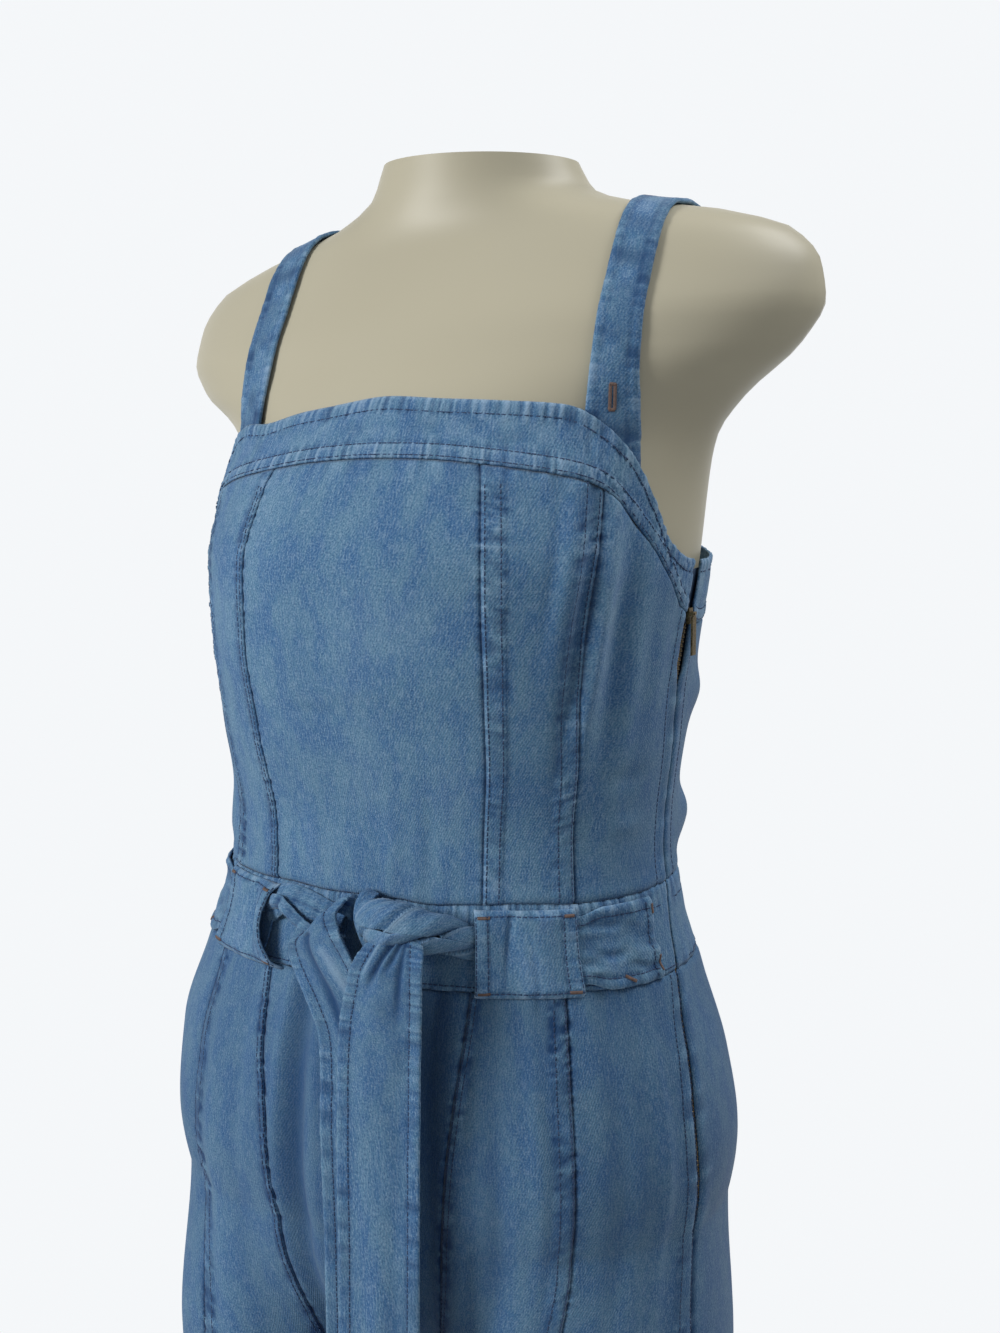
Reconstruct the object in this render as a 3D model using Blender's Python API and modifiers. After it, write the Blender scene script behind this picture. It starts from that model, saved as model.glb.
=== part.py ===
"""Denim jumpsuit with shoulder straps and a tied sash, worn by a limbless dress form.

Metres, +Z up. The wearer faces -Y, the wearer's left is +X, and the origin is on the
floor under the middle of the body. "turn" is the angle round the body in degrees:
0 at the front, 90 at the wearer's left side, 180 at the back.
"""
import math

import bmesh
import bpy
from mathutils import Vector
from mathutils.bvhtree import BVHTree

# Levels of the garment
WAIST_SEAM = 1.060
WAISTBAND_HEIGHT = 0.048
WAISTBAND_FOOT = WAIST_SEAM - WAISTBAND_HEIGHT
RISE_START = 0.860
CROTCH = 0.757
HEM = 0.045

# Cloth
WALL = 0.0016
SEAM_GAP = 0.0003
HALF_SEAM_TURN = 0.09
# Steps in which a panel point's level and turn, each a function of the other, settle
SETTLE_STEPS = 5
SASH_WALL = 0.0018
STRAP_WIDTH = 0.024
STRAP_WALL = 0.0024
STRAP_REST = 0.00115

# Shoulders: straps sit a little to the wearer's left, as the shoulder line does
STRAP_X = 0.114
STRAP_SHIFT = 0.006
STRAP_BACK_X = 0.082
STRAP_ROWS = 40
# Rays from a line inside the chest find the body under the straps: y and level, angles from upright
STRAP_PIVOT = (0.045, 1.330)
STRAP_FRONT_ANGLE = math.radians(107.0)
STRAP_BACK_ANGLE = math.radians(-136.0)
SHOULDER_TILT = math.radians(4.5)

# Stand
BASE_RADIUS = 0.190
BASE_THICKNESS = 0.012
POLE_RADIUS = 0.0125
POLE_X = -0.096
POLE_Y = 0.004
SOCKET_DEPTH = 0.060
FORM_FOOT = 0.796

# Body of the form: level, centre x, half width, y of the widest line, front y, back y, fullness
BODY = [
    (0.796, -0.006, 0.080, 0.010, -0.048, 0.066, 2.0),
    (0.811, -0.006, 0.124, 0.010, -0.075, 0.098, 2.1),
    (0.845, -0.006, 0.155, 0.009, -0.095, 0.120, 2.2),
    (0.900, -0.006, 0.165, 0.006, -0.104, 0.124, 2.2),
    (0.950, -0.006, 0.161, 0.004, -0.103, 0.115, 2.2),
    (1.000, -0.003, 0.147, 0.001, -0.100, 0.101, 2.2),
    (1.050, 0.000, 0.134, -0.002, -0.096, 0.092, 2.2),
    (1.090, 0.000, 0.129, 0.000, -0.096, 0.093, 2.2),
    (1.150, 0.000, 0.134, 0.004, -0.107, 0.103, 2.3),
    (1.200, 0.000, 0.139, 0.010, -0.117, 0.113, 2.3),
    (1.240, 0.000, 0.143, 0.018, -0.119, 0.120, 2.3),
    (1.285, 0.000, 0.145, 0.030, -0.105, 0.131, 2.2),
    (1.310, 0.000, 0.150, 0.036, -0.092, 0.135, 2.0),
    (1.330, 0.000, 0.166, 0.042, -0.080, 0.137, 1.9),
    (1.355, 0.000, 0.197, 0.050, -0.062, 0.137, 1.9),
    (1.377, 0.000, 0.209, 0.056, -0.048, 0.134, 2.0),
    (1.397, 0.000, 0.206, 0.056, -0.034, 0.128, 2.0),
    (1.417, 0.000, 0.190, 0.053, -0.022, 0.118, 2.0),
    (1.432, 0.000, 0.150, 0.049, -0.015, 0.108, 2.0),
    (1.444, 0.000, 0.100, 0.046, -0.013, 0.100, 2.0),
    (1.457, 0.000, 0.071, 0.044, -0.013, 0.096, 2.0),
    (1.476, 0.000, 0.060, 0.042, -0.014, 0.092, 2.0),
]

# Rings of points of the form
FORM_COLUMNS = 40
FORM_LEVELS = [FORM_FOOT, 0.801, 0.811, 0.825, 0.845, 0.870, 0.900, 0.950, 1.000, 1.050, 1.090,
               1.150, 1.200, 1.240, 1.285, 1.310, 1.330, 1.343, 1.355, 1.366, 1.377, 1.387, 1.397,
               1.407, 1.417, 1.425, 1.432, 1.438, 1.444, 1.457, 1.476]

# Room between the body and the cloth: level, room
EASE = [
    (0.785, 0.016),
    (0.900, 0.0155),
    (0.950, 0.013),
    (1.000, 0.010),
    (1.050, 0.0065),
    (1.150, 0.0065),
    (1.240, 0.0055),
    (1.330, 0.0050),
]

# Each leg: level, centre x, half width, centre y, half depth
LEG = [
    (0.045, 0.106, 0.098, 0.006, 0.080),
    (0.400, 0.101, 0.093, 0.004, 0.078),
    (0.600, 0.096, 0.090, 0.004, 0.090),
    (0.757, 0.092, 0.089, 0.008, 0.111),
    (0.860, 0.090, 0.087, 0.010, 0.122),
]

# Share of the leg, from its inner edges, over which the rise rounds into the crotch
CROTCH_REACH = 0.24

# Half the gap between two trouser panels, as a share of the way round the leg
PANEL_GAP = 0.0007

# Levels at which the trouser panels have a row of points
LEG_ROWS = [HEM, 0.150, 0.260, 0.370, 0.470, 0.560, 0.640, 0.705, CROTCH, 0.761, 0.770, 0.785, 0.807,
            0.833, RISE_START, 0.915, 0.965, WAISTBAND_FOOT - SEAM_GAP]

# Top edge of the garment and the seam under its band: turn, edge level, seam level
TOP_BAND = [
    (0.0, 1.339, 1.304),
    (16.0, 1.334, 1.302),
    (30.0, 1.331, 1.298),
    (45.0, 1.327, 1.292),
    (53.0, 1.318, 1.286),
    (60.0, 1.304, 1.273),
    (67.0, 1.281, 1.257),
    (74.0, 1.258, 1.240),
    (84.0, 1.247, 1.218),
    (96.0, 1.245, 1.208),
    (130.0, 1.252, 1.214),
    (180.0, 1.260, 1.221),
]

# Seams of one side of the body: level, princess seam, side front seam, side seam, as turns
SEAMS = [
    (0.860, 24.0, 52.5, 80.0),
    (0.915, 26.0, 53.0, 79.0),
    (0.975, 30.0, 53.8, 81.0),
    (1.012, 32.3, 54.5, 84.5),
    (1.060, 35.5, 58.5, 89.0),
    (1.120, 35.0, 57.0, 89.5),
    (1.180, 32.5, 54.0, 87.0),
    (1.230, 30.0, 53.3, 88.0),
    (1.300, 27.0, 53.6, 90.0),
]

# Large folds of the bodice: turn, spread in degrees, level, reach, height (troughs below 0)
BODICE_FOLDS = [
    (47.0, 3.5, 1.245, 0.050, 0.0030),
    (62.0, 4.5, 1.235, 0.050, -0.0020),
    (118.0, 13.0, 1.090, 0.018, 0.0120),
    (150.0, 12.0, 1.130, 0.015, 0.0060),
    (-118.0, 13.0, 1.085, 0.016, 0.0070),
    (-150.0, 12.0, 1.120, 0.015, 0.0055),
    (110.0, 9.0, 1.165, 0.014, 0.0050),
    (-68.0, 6.0, 1.085, 0.020, 0.0030),
]

# Large folds of each trouser leg, upright: share round the leg, spread, level, reach, height
LEG_FOLDS = [
    (0.110, 0.030, 0.820, 0.130, -0.0050),
    (0.235, 0.035, 0.600, 0.260, 0.0060),
    (0.400, 0.030, 0.640, 0.260, -0.0060),
    (0.330, 0.030, 0.300, 0.240, 0.0055),
    (0.610, 0.040, 0.560, 0.280, -0.0060),
    (0.760, 0.040, 0.480, 0.300, 0.0065),
    (0.885, 0.035, 0.600, 0.220, -0.0050),
]

# Sash
SASH_WIDTH = 0.046
SASH_LEVEL = WAIST_SEAM - WAISTBAND_HEIGHT / 2 - 0.001
SASH_OUT = WALL + 0.0006
CARRIER_TURNS = (33.0, 58.0)
CARRIER_LEVELS = (WAIST_SEAM - 0.0018, WAISTBAND_FOOT - 0.002)
ANCHOR_TURN = 79.0
KNOT_CENTRE = Vector((0.020, -0.1265, 1.037))
KNOT_HALF = Vector((0.030, 0.0125, 0.0185))
SASH_COLUMNS = 10
SASH_HALF_IN_CARRIER = 0.0185

# Sash between its carriers and the knot: x, y, z, half width, lean
SASH_END_LEFT = [
    (0.0580, -0.1075, 1.0345, 0.0165, 0.05),
    (0.0492, -0.1245, 1.0350, 0.0110, 0.25),
]
SASH_END_RIGHT = [
    (-0.0560, -0.1075, 1.0350, 0.0180, 0.05),
    (-0.0360, -0.1150, 1.0330, 0.0160, 0.15),
    (-0.0093, -0.1245, 1.0350, 0.0100, 0.20),
]

# Tails of the sash: level, x of the middle, y, half width, depth of the lengthwise fold
TAIL_FRONT = [
    (0.700, 0.022, -0.1385, 0.0230, 0.0010),
    (0.800, 0.022, -0.1385, 0.0235, 0.0015),
    (0.900, 0.023, -0.1375, 0.0235, 0.0020),
    (0.960, 0.023, -0.1350, 0.0225, 0.0030),
    (1.000, 0.020, -0.1310, 0.0180, 0.0030),
    (1.0190, 0.018, -0.1275, 0.0150, 0.0010),
]
TAIL_BACK = [
    (0.730, 0.008, -0.1310, 0.0230, -0.0010),
    (0.850, 0.007, -0.1310, 0.0235, -0.0010),
    (0.930, 0.004, -0.1300, 0.0230, -0.0010),
    (0.970, -0.006, -0.1270, 0.0220, -0.0015),
    (1.000, -0.013, -0.1250, 0.0200, -0.0015),
    (1.0218, -0.011, -0.1235, 0.0150, 0.0000),
]

# Zip at the wearer's left side
ZIP_TOP = 1.236
ZIP_FOOT = 0.872
ZIP_HALF_TURN = 2.2
TAPE_HALF_TURN = 5.0
CHAIN_HALF_TURN = 1.15
TAPE_WALL = 0.0007
TAPE_SETBACK = 0.0013
CHAIN_WALL = 0.0016
CHAIN_OUT = SEAM_GAP - TAPE_SETBACK
SLIDER_LEVEL = 1.214
ZIP_ROWS = 11

COLLECTION = "denim_jumpsuit"
CUTTERS = "cutters"


def clear_scene():
    for obj in list(bpy.data.objects):
        bpy.data.objects.remove(obj, do_unlink=True)
    for name in (COLLECTION, CUTTERS):
        group = bpy.data.collections.new(name)
        bpy.context.scene.collection.children.link(group)


def finish(name, colour, roughness, metallic=0.0):
    material = bpy.data.materials.new(name)
    material.use_nodes = True
    shader = material.node_tree.nodes["Principled BSDF"]
    shader.inputs["Base Color"].default_value = (*colour, 1.0)
    shader.inputs["Roughness"].default_value = roughness
    shader.inputs["Metallic"].default_value = metallic
    return material


def smooth(rows, at, column):
    """Value of a table column at a level or turn, on a curve that never overshoots its rows."""
    if at <= rows[0][0]:
        return rows[0][column]
    if at >= rows[-1][0]:
        return rows[-1][column]
    k = max(i for i in range(len(rows) - 1) if rows[i][0] <= at)

    def rate(i):
        return (rows[i + 1][column] - rows[i][column]) / (rows[i + 1][0] - rows[i][0])

    def slope(i):
        if i == 0 or i == len(rows) - 1:
            return rate(min(i, len(rows) - 2))
        before, after = rate(i - 1), rate(i)
        return 0.0 if before * after <= 0 else 2 * before * after / (before + after)

    step = rows[k + 1][0] - rows[k][0]
    t = (at - rows[k][0]) / step
    rise = (3 - 2 * t) * t * t
    lead = slope(k) * step * t * (1 - t) ** 2
    trail = slope(k + 1) * step * t * t * (t - 1)
    return rows[k][column] * (1 - rise) + rows[k + 1][column] * rise + lead + trail


def ramp(value, low, high):
    t = min(max((value - low) / (high - low), 0.0), 1.0)
    return t * t * (3 - 2 * t)


def body_point(turn, level, out):
    """Point on the body at a turn and level, moved out by a distance."""
    centre, half, side, front, back, fullness = (smooth(BODY, level, c) for c in range(1, 7))
    sine, cosine = math.sin(math.radians(turn)), math.cos(math.radians(turn))
    depth = (side - front if cosine > 0 else back - side) + out
    spread = (abs(sine) / (half + out)) ** fullness + (abs(cosine) / depth) ** fullness
    radius = spread ** (-1 / fullness)
    x = radius * sine
    tilt = ramp(level, 1.24, 1.38) * (1 - ramp(level, 1.432, 1.474))
    return Vector((centre + x, side - radius * cosine, level + x * math.tan(SHOULDER_TILT) * tilt))


def bodice_fold(turn, level):
    turn = (turn + 180.0) % 360.0 - 180.0
    return ramp(level, WAIST_SEAM, WAIST_SEAM + 0.020) * sum(
        height * math.exp(-(((turn - at) / spread) ** 2) - ((level - mid) / reach) ** 2)
        for at, spread, mid, reach, height in BODICE_FOLDS
    )


def cloth_point(turn, level, out=0.0):
    room = smooth(EASE, level, 1)
    return body_point(turn, level, room + bodice_fold(turn, level) + out)


def grid_object(name, place, columns, rows, material, wall=0.0):
    """Open sheet on place(across, along), both from 0 to 1, with an optional wall added outwards."""
    sheet = bmesh.new()
    bmesh.ops.create_grid(sheet, x_segments=columns, y_segments=rows, size=1.0)
    low = min(vert.co.x for vert in sheet.verts)
    high = max(vert.co.x for vert in sheet.verts)
    span = high - low
    for vert in sheet.verts:
        across, along = (vert.co.x - low) / span, (vert.co.y - low) / span
        vert.co = place(across, along)
    obj = mesh_object(name, sheet, material)
    if wall:
        add_wall(obj, wall)
    return obj


def add_wall(obj, wall):
    solid = obj.modifiers.new("wall", "SOLIDIFY")
    solid.thickness = wall
    solid.offset = 1.0


def mesh_object(name, shape, material, smooth_angle=40.0):
    mesh = bpy.data.meshes.new(name)
    shape.to_mesh(mesh)
    shape.free()
    mesh.materials.append(material)
    mesh.shade_smooth()
    mesh.set_sharp_from_angle(angle=math.radians(smooth_angle))
    obj = bpy.data.objects.new(name, mesh)
    bpy.data.collections[COLLECTION].objects.link(obj)
    return obj


def cut(target, cutter):
    cutter.hide_render = True
    cutter.display_type = "WIRE"
    for group in list(cutter.users_collection):
        group.objects.unlink(cutter)
    bpy.data.collections[CUTTERS].objects.link(cutter)
    boolean = target.modifiers.new("cut", "BOOLEAN")
    boolean.operation = "DIFFERENCE"
    boolean.object = cutter


def panel(name, seams, low_level, high_level, columns, rows, material):
    """Cloth from the first seam to the last, its columns shared out between the seams it passes.

    The seams are turns as functions of level, and the two levels are functions of turn.
    """
    total = sum(columns)

    def place(across, along):
        step = across * total
        part = 0
        while part < len(columns) - 1 and step >= columns[part]:
            step -= columns[part]
            part += 1
        share = step / columns[part]
        level = (low_level(0.0) + high_level(0.0)) / 2
        for _ in range(SETTLE_STEPS):
            low = seams[part](level) + (HALF_SEAM_TURN if part == 0 else 0.0)
            high = seams[part + 1](level) - (HALF_SEAM_TURN if part == len(columns) - 1 else 0.0)
            turn = low + share * (high - low)
            foot, top = low_level(turn) + SEAM_GAP / 2, high_level(turn) - SEAM_GAP / 2
            level = foot + along * (top - foot)
        return cloth_point(turn, level)

    return grid_object(name, place, total, rows, material, WALL)


def seam(column, side=1):
    return lambda level: side * smooth(SEAMS, level, column)


def band_edge(column):
    return lambda turn: smooth(TOP_BAND, abs((turn + 180.0) % 360.0 - 180.0), column)


def flat(level):
    return lambda turn: level


def zip_edge(offset):
    """The wearer's left side seam, opened for the zip."""
    return lambda level: smooth(SEAMS, level, 3) + offset


def wrap(column):
    """The wearer's right seam, counted on round the back."""
    return lambda level: 360.0 - smooth(SEAMS, level, column)


def bodice(denim):
    foot, top, edge = flat(WAIST_SEAM), band_edge(2), band_edge(1)
    front_zip, back_zip = zip_edge(-ZIP_HALF_TURN), zip_edge(ZIP_HALF_TURN)
    right = [seam(3, -1), seam(2, -1), seam(1, -1)]
    left = [seam(1), seam(2), front_zip]
    panel("bodice_front", [right[2], left[0]], foot, top, [8], 8, denim)
    panel("bodice_side_front_left", left[:2], foot, top, [4], 8, denim)
    panel("bodice_side_front_right", right[1:], foot, top, [4], 8, denim)
    panel("bodice_side_left", left[1:], foot, top, [5], 8, denim)
    panel("bodice_side_right", right[:2], foot, top, [5], 8, denim)
    panel("bodice_back", [back_zip, wrap(3)], foot, top, [18], 14, denim)
    panel("top_band_front", right + left, top, edge, [5, 4, 8, 4, 5], 2, denim)
    panel("top_band_back", [back_zip, wrap(3)], top, edge, [18], 2, denim)


def waistband(denim):
    foot, top = flat(WAISTBAND_FOOT), flat(WAIST_SEAM)
    panel("waistband_front", [seam(3, -1), zip_edge(-ZIP_HALF_TURN)], foot, top, [24], 4, denim)
    panel("waistband_back", [zip_edge(ZIP_HALF_TURN), wrap(3)], foot, top, [18], 4, denim)


def leg_fold(share, level):
    if share <= 0.0 or share >= 1.0:
        return 0.0
    fade = ramp(share, 0.0, 0.05) * (1 - ramp(share, 0.95, 1.0)) * (1 - ramp(level, 0.86, 0.98))
    return fade * sum(
        height * math.exp(-(((share - at) / spread) ** 2) - ((level - mid) / reach) ** 2)
        for at, spread, mid, reach, height in LEG_FOLDS
    )


def leg_point(side, share, level, out=0.0):
    """Point of the trousers: share runs from the front middle round the outside to the back."""
    trunk_level = max(level, RISE_START)
    out = out + leg_fold(share, level)
    trunk = body_point(share * 180.0 * side, trunk_level, smooth(EASE, trunk_level, 1) + out)
    trunk.z = level
    if level >= RISE_START:
        return trunk
    centre, half, middle, depth = (smooth(LEG, level, c) for c in range(1, 5))
    angle = 2 * math.pi * share
    tube = Vector((
        side * (centre - (half + out) * math.cos(angle)) + smooth(BODY, trunk_level, 1),
        middle - (depth + out) * math.sin(angle),
        level,
    ))
    rise = max((level - CROTCH) / (RISE_START - CROTCH), 0.0)
    at_crotch = 1 - ramp(min(share, 1 - share), 0.0, CROTCH_REACH)
    round_rise = math.sqrt(1 - (1 - rise) ** 2)
    return tube.lerp(trunk, ramp(rise, 0.0, 1.0) * (1 - at_crotch) + round_rise * at_crotch)


def leg_panel(name, side, low, high, columns, denim):
    """One trouser panel from the hem to the waistband, between two seams given as shares."""
    def place(across, along):
        level = LEG_ROWS[round(along * (len(LEG_ROWS) - 1))]
        share = low(level) + PANEL_GAP + across * (high(level) - low(level) - 2 * PANEL_GAP)
        point = leg_point(side, share, level)
        middle = smooth(BODY, max(level, RISE_START), 1)
        steep = 1 - ramp(level, CROTCH, RISE_START)
        clear = SEAM_GAP / 2 + 1.1 * WALL * steep
        point.x = middle + side * max(side * (point.x - middle), clear)
        return point

    obj = grid_object(name, place, columns, len(LEG_ROWS) - 1, denim)
    if side < 0:
        turn_over(obj)
    add_wall(obj, WALL)


def turn_over(obj):
    shape = bmesh.new()
    shape.from_mesh(obj.data)
    bmesh.ops.reverse_faces(shape, faces=shape.faces)
    shape.to_mesh(obj.data)
    shape.free()


def trousers(denim):
    def share(column):
        return lambda level: smooth(SEAMS, level, column) / 180.0

    def opened(side, way):
        """The left side seam parts round the zip, and closes below its foot."""
        def at(level):
            gape = ZIP_HALF_TURN / 180.0 * ramp(level, ZIP_FOOT - 0.03, ZIP_FOOT) if side > 0 else 0.0
            return smooth(SEAMS, level, 3) / 180.0 + way * gape
        return at

    for side, word in ((1, "left"), (-1, "right")):
        leg_panel(f"trouser_front_inner_{word}", side, lambda level: 0.0, share(1), 4, denim)
        leg_panel(f"trouser_front_middle_{word}", side, share(1), share(2), 4, denim)
        leg_panel(f"trouser_front_side_{word}", side, share(2), opened(side, -1), 4, denim)
        leg_panel(f"trouser_back_{word}", side, opened(side, 1), lambda level: 1.0, 11, denim)


def form(shell):
    """Torso with rounded shoulder ends, a short neck and a socket for the pole."""
    count = FORM_COLUMNS
    torso = bmesh.new()
    rings = [[torso.verts.new(body_point(360.0 * k / count, level, 0.0)) for k in range(count)]
             for level in FORM_LEVELS]
    edges = [[torso.edges.new((ring[k], ring[(k + 1) % count])) for k in range(count)]
             for ring in rings]
    for lower, upper in zip(edges, edges[1:]):
        bmesh.ops.bridge_loops(torso, edges=lower + upper)
    bmesh.ops.contextual_create(torso, geom=edges[0])
    bmesh.ops.contextual_create(torso, geom=edges[-1])
    bmesh.ops.recalc_face_normals(torso, faces=torso.faces)
    surface = BVHTree.FromBMesh(torso)
    obj = mesh_object("form_torso", torso, shell, 60.0)
    bpy.ops.mesh.primitive_cylinder_add(
        vertices=24, radius=POLE_RADIUS + SEAM_GAP, depth=2 * SOCKET_DEPTH,
        location=(POLE_X, POLE_Y, FORM_FOOT))
    cutter = bpy.context.object
    cutter.name = "pole_socket"
    cut(obj, cutter)
    return surface


def stand(metal):
    pole_foot = BASE_THICKNESS + SEAM_GAP
    pole_top = FORM_FOOT + SOCKET_DEPTH - SEAM_GAP
    bpy.ops.mesh.primitive_cylinder_add(
        vertices=24, radius=POLE_RADIUS, depth=pole_top - pole_foot,
        location=(POLE_X, POLE_Y, (pole_top + pole_foot) / 2))
    take("stand_pole", metal)
    turned("stand_base", [(0.0, BASE_THICKNESS), (BASE_RADIUS - 0.004, BASE_THICKNESS),
                          (BASE_RADIUS, BASE_THICKNESS - 0.004), (BASE_RADIUS, 0.0), (0.0, 0.0)],
           (0.0, 0.0, 0.0), 64, metal)
    inner, foot = POLE_RADIUS + SEAM_GAP, BASE_THICKNESS + SEAM_GAP
    turned("stand_collar", [(inner, foot + 0.018), (inner + 0.005, foot + 0.018),
                            (inner + 0.007, foot + 0.006), (inner + 0.012, foot), (inner, foot),
                            (inner, foot + 0.018)],
           (POLE_X, POLE_Y, 0.0), 24, metal)


def take(name, material, bevel=0.0):
    """Names the primitive that was just added and gives it its finish."""
    obj = bpy.context.object
    obj.name = name
    obj.data.name = name
    obj.data.materials.append(material)
    for group in list(obj.users_collection):
        group.objects.unlink(obj)
    bpy.data.collections[COLLECTION].objects.link(obj)
    if bevel:
        rounding = obj.modifiers.new("rounding", "BEVEL")
        rounding.width = bevel
        rounding.segments = 2
    obj.data.shade_smooth()
    obj.data.set_sharp_from_angle(angle=math.radians(40.0))
    return obj


def turned(name, profile, centre, steps, material):
    """Profile of radius and height, outer side top to bottom, turned about an upright line."""
    outline = bmesh.new()
    points = [outline.verts.new((radius, 0.0, height)) for radius, height in profile]
    for first, second in zip(points, points[1:]):
        outline.edges.new((first, second))
    obj = mesh_object(name, outline, material)
    obj.location = centre
    screw = obj.modifiers.new("turn", "SCREW")
    screw.steps = steps
    screw.render_steps = steps
    screw.use_merge_vertices = True
    screw.merge_threshold = 0.00001
    return obj


def strap(name, side, surface, denim):
    """Strap from inside the front band over the shoulder to inside the back band."""
    def place(across, along):
        angle = STRAP_FRONT_ANGLE + along * (STRAP_BACK_ANGLE - STRAP_FRONT_ANGLE)
        inward = ramp(along, 0.45, 1.0) * (STRAP_X - STRAP_BACK_X)
        x = side * (STRAP_X - inward) + STRAP_SHIFT + side * (across - 0.5) * STRAP_WIDTH
        way = Vector((0.0, -math.sin(angle), math.cos(angle)))
        spot, normal, _, _ = surface.ray_cast(Vector((x, *STRAP_PIVOT)), way)
        if normal.dot(way) < 0:
            normal = -normal
        end = max(1 - ramp(along, 0.0, 0.16), ramp(along, 0.84, 1.0))
        room = smooth(EASE, spot.z, 1) - STRAP_REST - STRAP_WALL
        rest = STRAP_REST + end * (room - STRAP_REST)
        return spot + normal * rest

    obj = grid_object(name, place, 3, STRAP_ROWS, denim)
    if side < 0:
        turn_over(obj)
    add_wall(obj, STRAP_WALL)


def carrier(name, side, denim):
    """Wide loop sewn over the waistband, under which the sash runs."""
    low, high = CARRIER_TURNS
    top, foot = CARRIER_LEVELS
    room = SASH_WALL + SEAM_GAP

    def place(across, along):
        turn = side * (low + across * (high - low))
        level = foot + along * (top - foot)
        raised = room * ramp(along, 0.0, 0.08) * (1 - ramp(along, 0.92, 1.0))
        return cloth_point(turn, level, SASH_OUT + raised)

    obj = grid_object(name, place, 5, 12, denim, WALL)
    if side < 0:
        turn_over(obj)


def sash_run(name, side, end_points, denim):
    """Sash from its sewn end at the side, under the carrier, and on to the knot."""
    low, high = CARRIER_TURNS
    columns = SASH_COLUMNS + len(end_points)

    def place(across, along):
        step = round(across * columns)
        if step <= SASH_COLUMNS:
            turn = ANCHOR_TURN + step / SASH_COLUMNS * (low - ANCHOR_TURN)
            spread = ramp(turn, high + 1.0, high + 7.0)
            half = SASH_HALF_IN_CARRIER + spread * (SASH_WIDTH / 2 - SASH_HALF_IN_CARRIER)
            return cloth_point(side * turn, SASH_LEVEL + (2 * along - 1) * half, SASH_OUT)
        x, y, z, half, lean = end_points[step - SASH_COLUMNS - 1]
        rise = (2 * along - 1) * half
        return Vector((x, y - rise * lean, z + rise))

    obj = grid_object(name, place, columns, 4, denim)
    if side > 0:
        turn_over(obj)
    add_wall(obj, SASH_WALL)


def knot(denim):
    """Soft form of the tied knot."""
    bpy.ops.mesh.primitive_cube_add(size=2.0, location=KNOT_CENTRE, scale=KNOT_HALF * 1.16)
    bpy.ops.object.transform_apply(location=False, rotation=False, scale=True)
    obj = take("sash_knot", denim)
    rounding = obj.modifiers.new("rounding", "SUBSURF")
    rounding.levels = 2
    rounding.render_levels = 2


def tail(name, rows, denim):
    def place(across, along):
        level = rows[0][0] + along * (rows[-1][0] - rows[0][0])
        middle, y, half, fold = (smooth(rows, level, c) for c in range(1, 5))
        wave = fold * math.cos(3 * math.pi * across)
        return Vector((middle + (2 * across - 1) * half, y - wave, level))

    grid_object(name, place, 8, 11, denim, SASH_WALL)


def zip_strip(name, turn_at, half_turn, foot, top, wall, out, material):
    """Strip of the zip down the wearer's left side, from its foot to its top."""
    levels = [foot] + [level for level in LEG_ROWS if level > foot + 0.02]
    levels += [WAIST_SEAM - WAISTBAND_HEIGHT / 2]
    levels += [WAIST_SEAM + k * (top - WAIST_SEAM) / ZIP_ROWS for k in range(ZIP_ROWS + 1)]

    def place(across, along):
        level = levels[round(along * (len(levels) - 1))]
        turn = turn_at(level) + (2 * across - 1) * half_turn
        if level >= WAISTBAND_FOOT - SEAM_GAP:
            return cloth_point(turn, level, out)
        return leg_point(1, turn / 180.0, level, out)

    return grid_object(name, place, 2, len(levels) - 1, material, wall)


def zip_parts(tape, metal):
    side = seam(3)
    back_of_cloth = -TAPE_SETBACK - TAPE_WALL
    zip_strip("zip_tape", side, TAPE_HALF_TURN, ZIP_FOOT - 0.010, ZIP_TOP + 0.004, TAPE_WALL,
              back_of_cloth, tape)
    zip_strip("zip_chain", side, CHAIN_HALF_TURN, ZIP_FOOT, SLIDER_LEVEL - 0.001, CHAIN_WALL,
              CHAIN_OUT, metal)
    return cloth_point(side(SLIDER_LEVEL), SLIDER_LEVEL)


# Zip slider and its pull tab, in millimetre-scale sizes given in metres
SLIDER_HALF = Vector((0.0010, 0.0032, 0.0045))
LUG_HALF = Vector((0.0013, 0.0005, 0.0011))
LUG_Y = 0.0024
PIN_RADIUS = 0.00055
EYE_RADIUS = 0.00125
EYE_BORE = 0.00090
EYE_HALF_LENGTH = 0.0015
NECK_LENGTH = 0.0016
TAB_LENGTH = 0.022
TAB_HALF = Vector((0.0006, 0.0030, TAB_LENGTH / 2))


def box(name, centre, half, material):
    bpy.ops.mesh.primitive_cube_add(size=2.0, location=centre, scale=half)
    bpy.ops.object.transform_apply(location=False, rotation=False, scale=True)
    return take(name, material)


def rod(name, centre, radius, length, steps, material):
    bpy.ops.mesh.primitive_cylinder_add(vertices=steps, radius=radius, depth=length, location=centre,
                                        rotation=(math.pi / 2, 0.0, 0.0))
    return take(name, material)


def join(target, others, operation="UNION"):
    """Runs the Booleans on the target and removes the pieces that went into it."""
    bpy.context.view_layer.objects.active = target
    for other in others:
        step = target.modifiers.new("step", "BOOLEAN")
        step.operation = operation
        step.object = other
        bpy.ops.object.modifier_apply(modifier=step.name)
        bpy.data.objects.remove(other, do_unlink=True)


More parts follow.
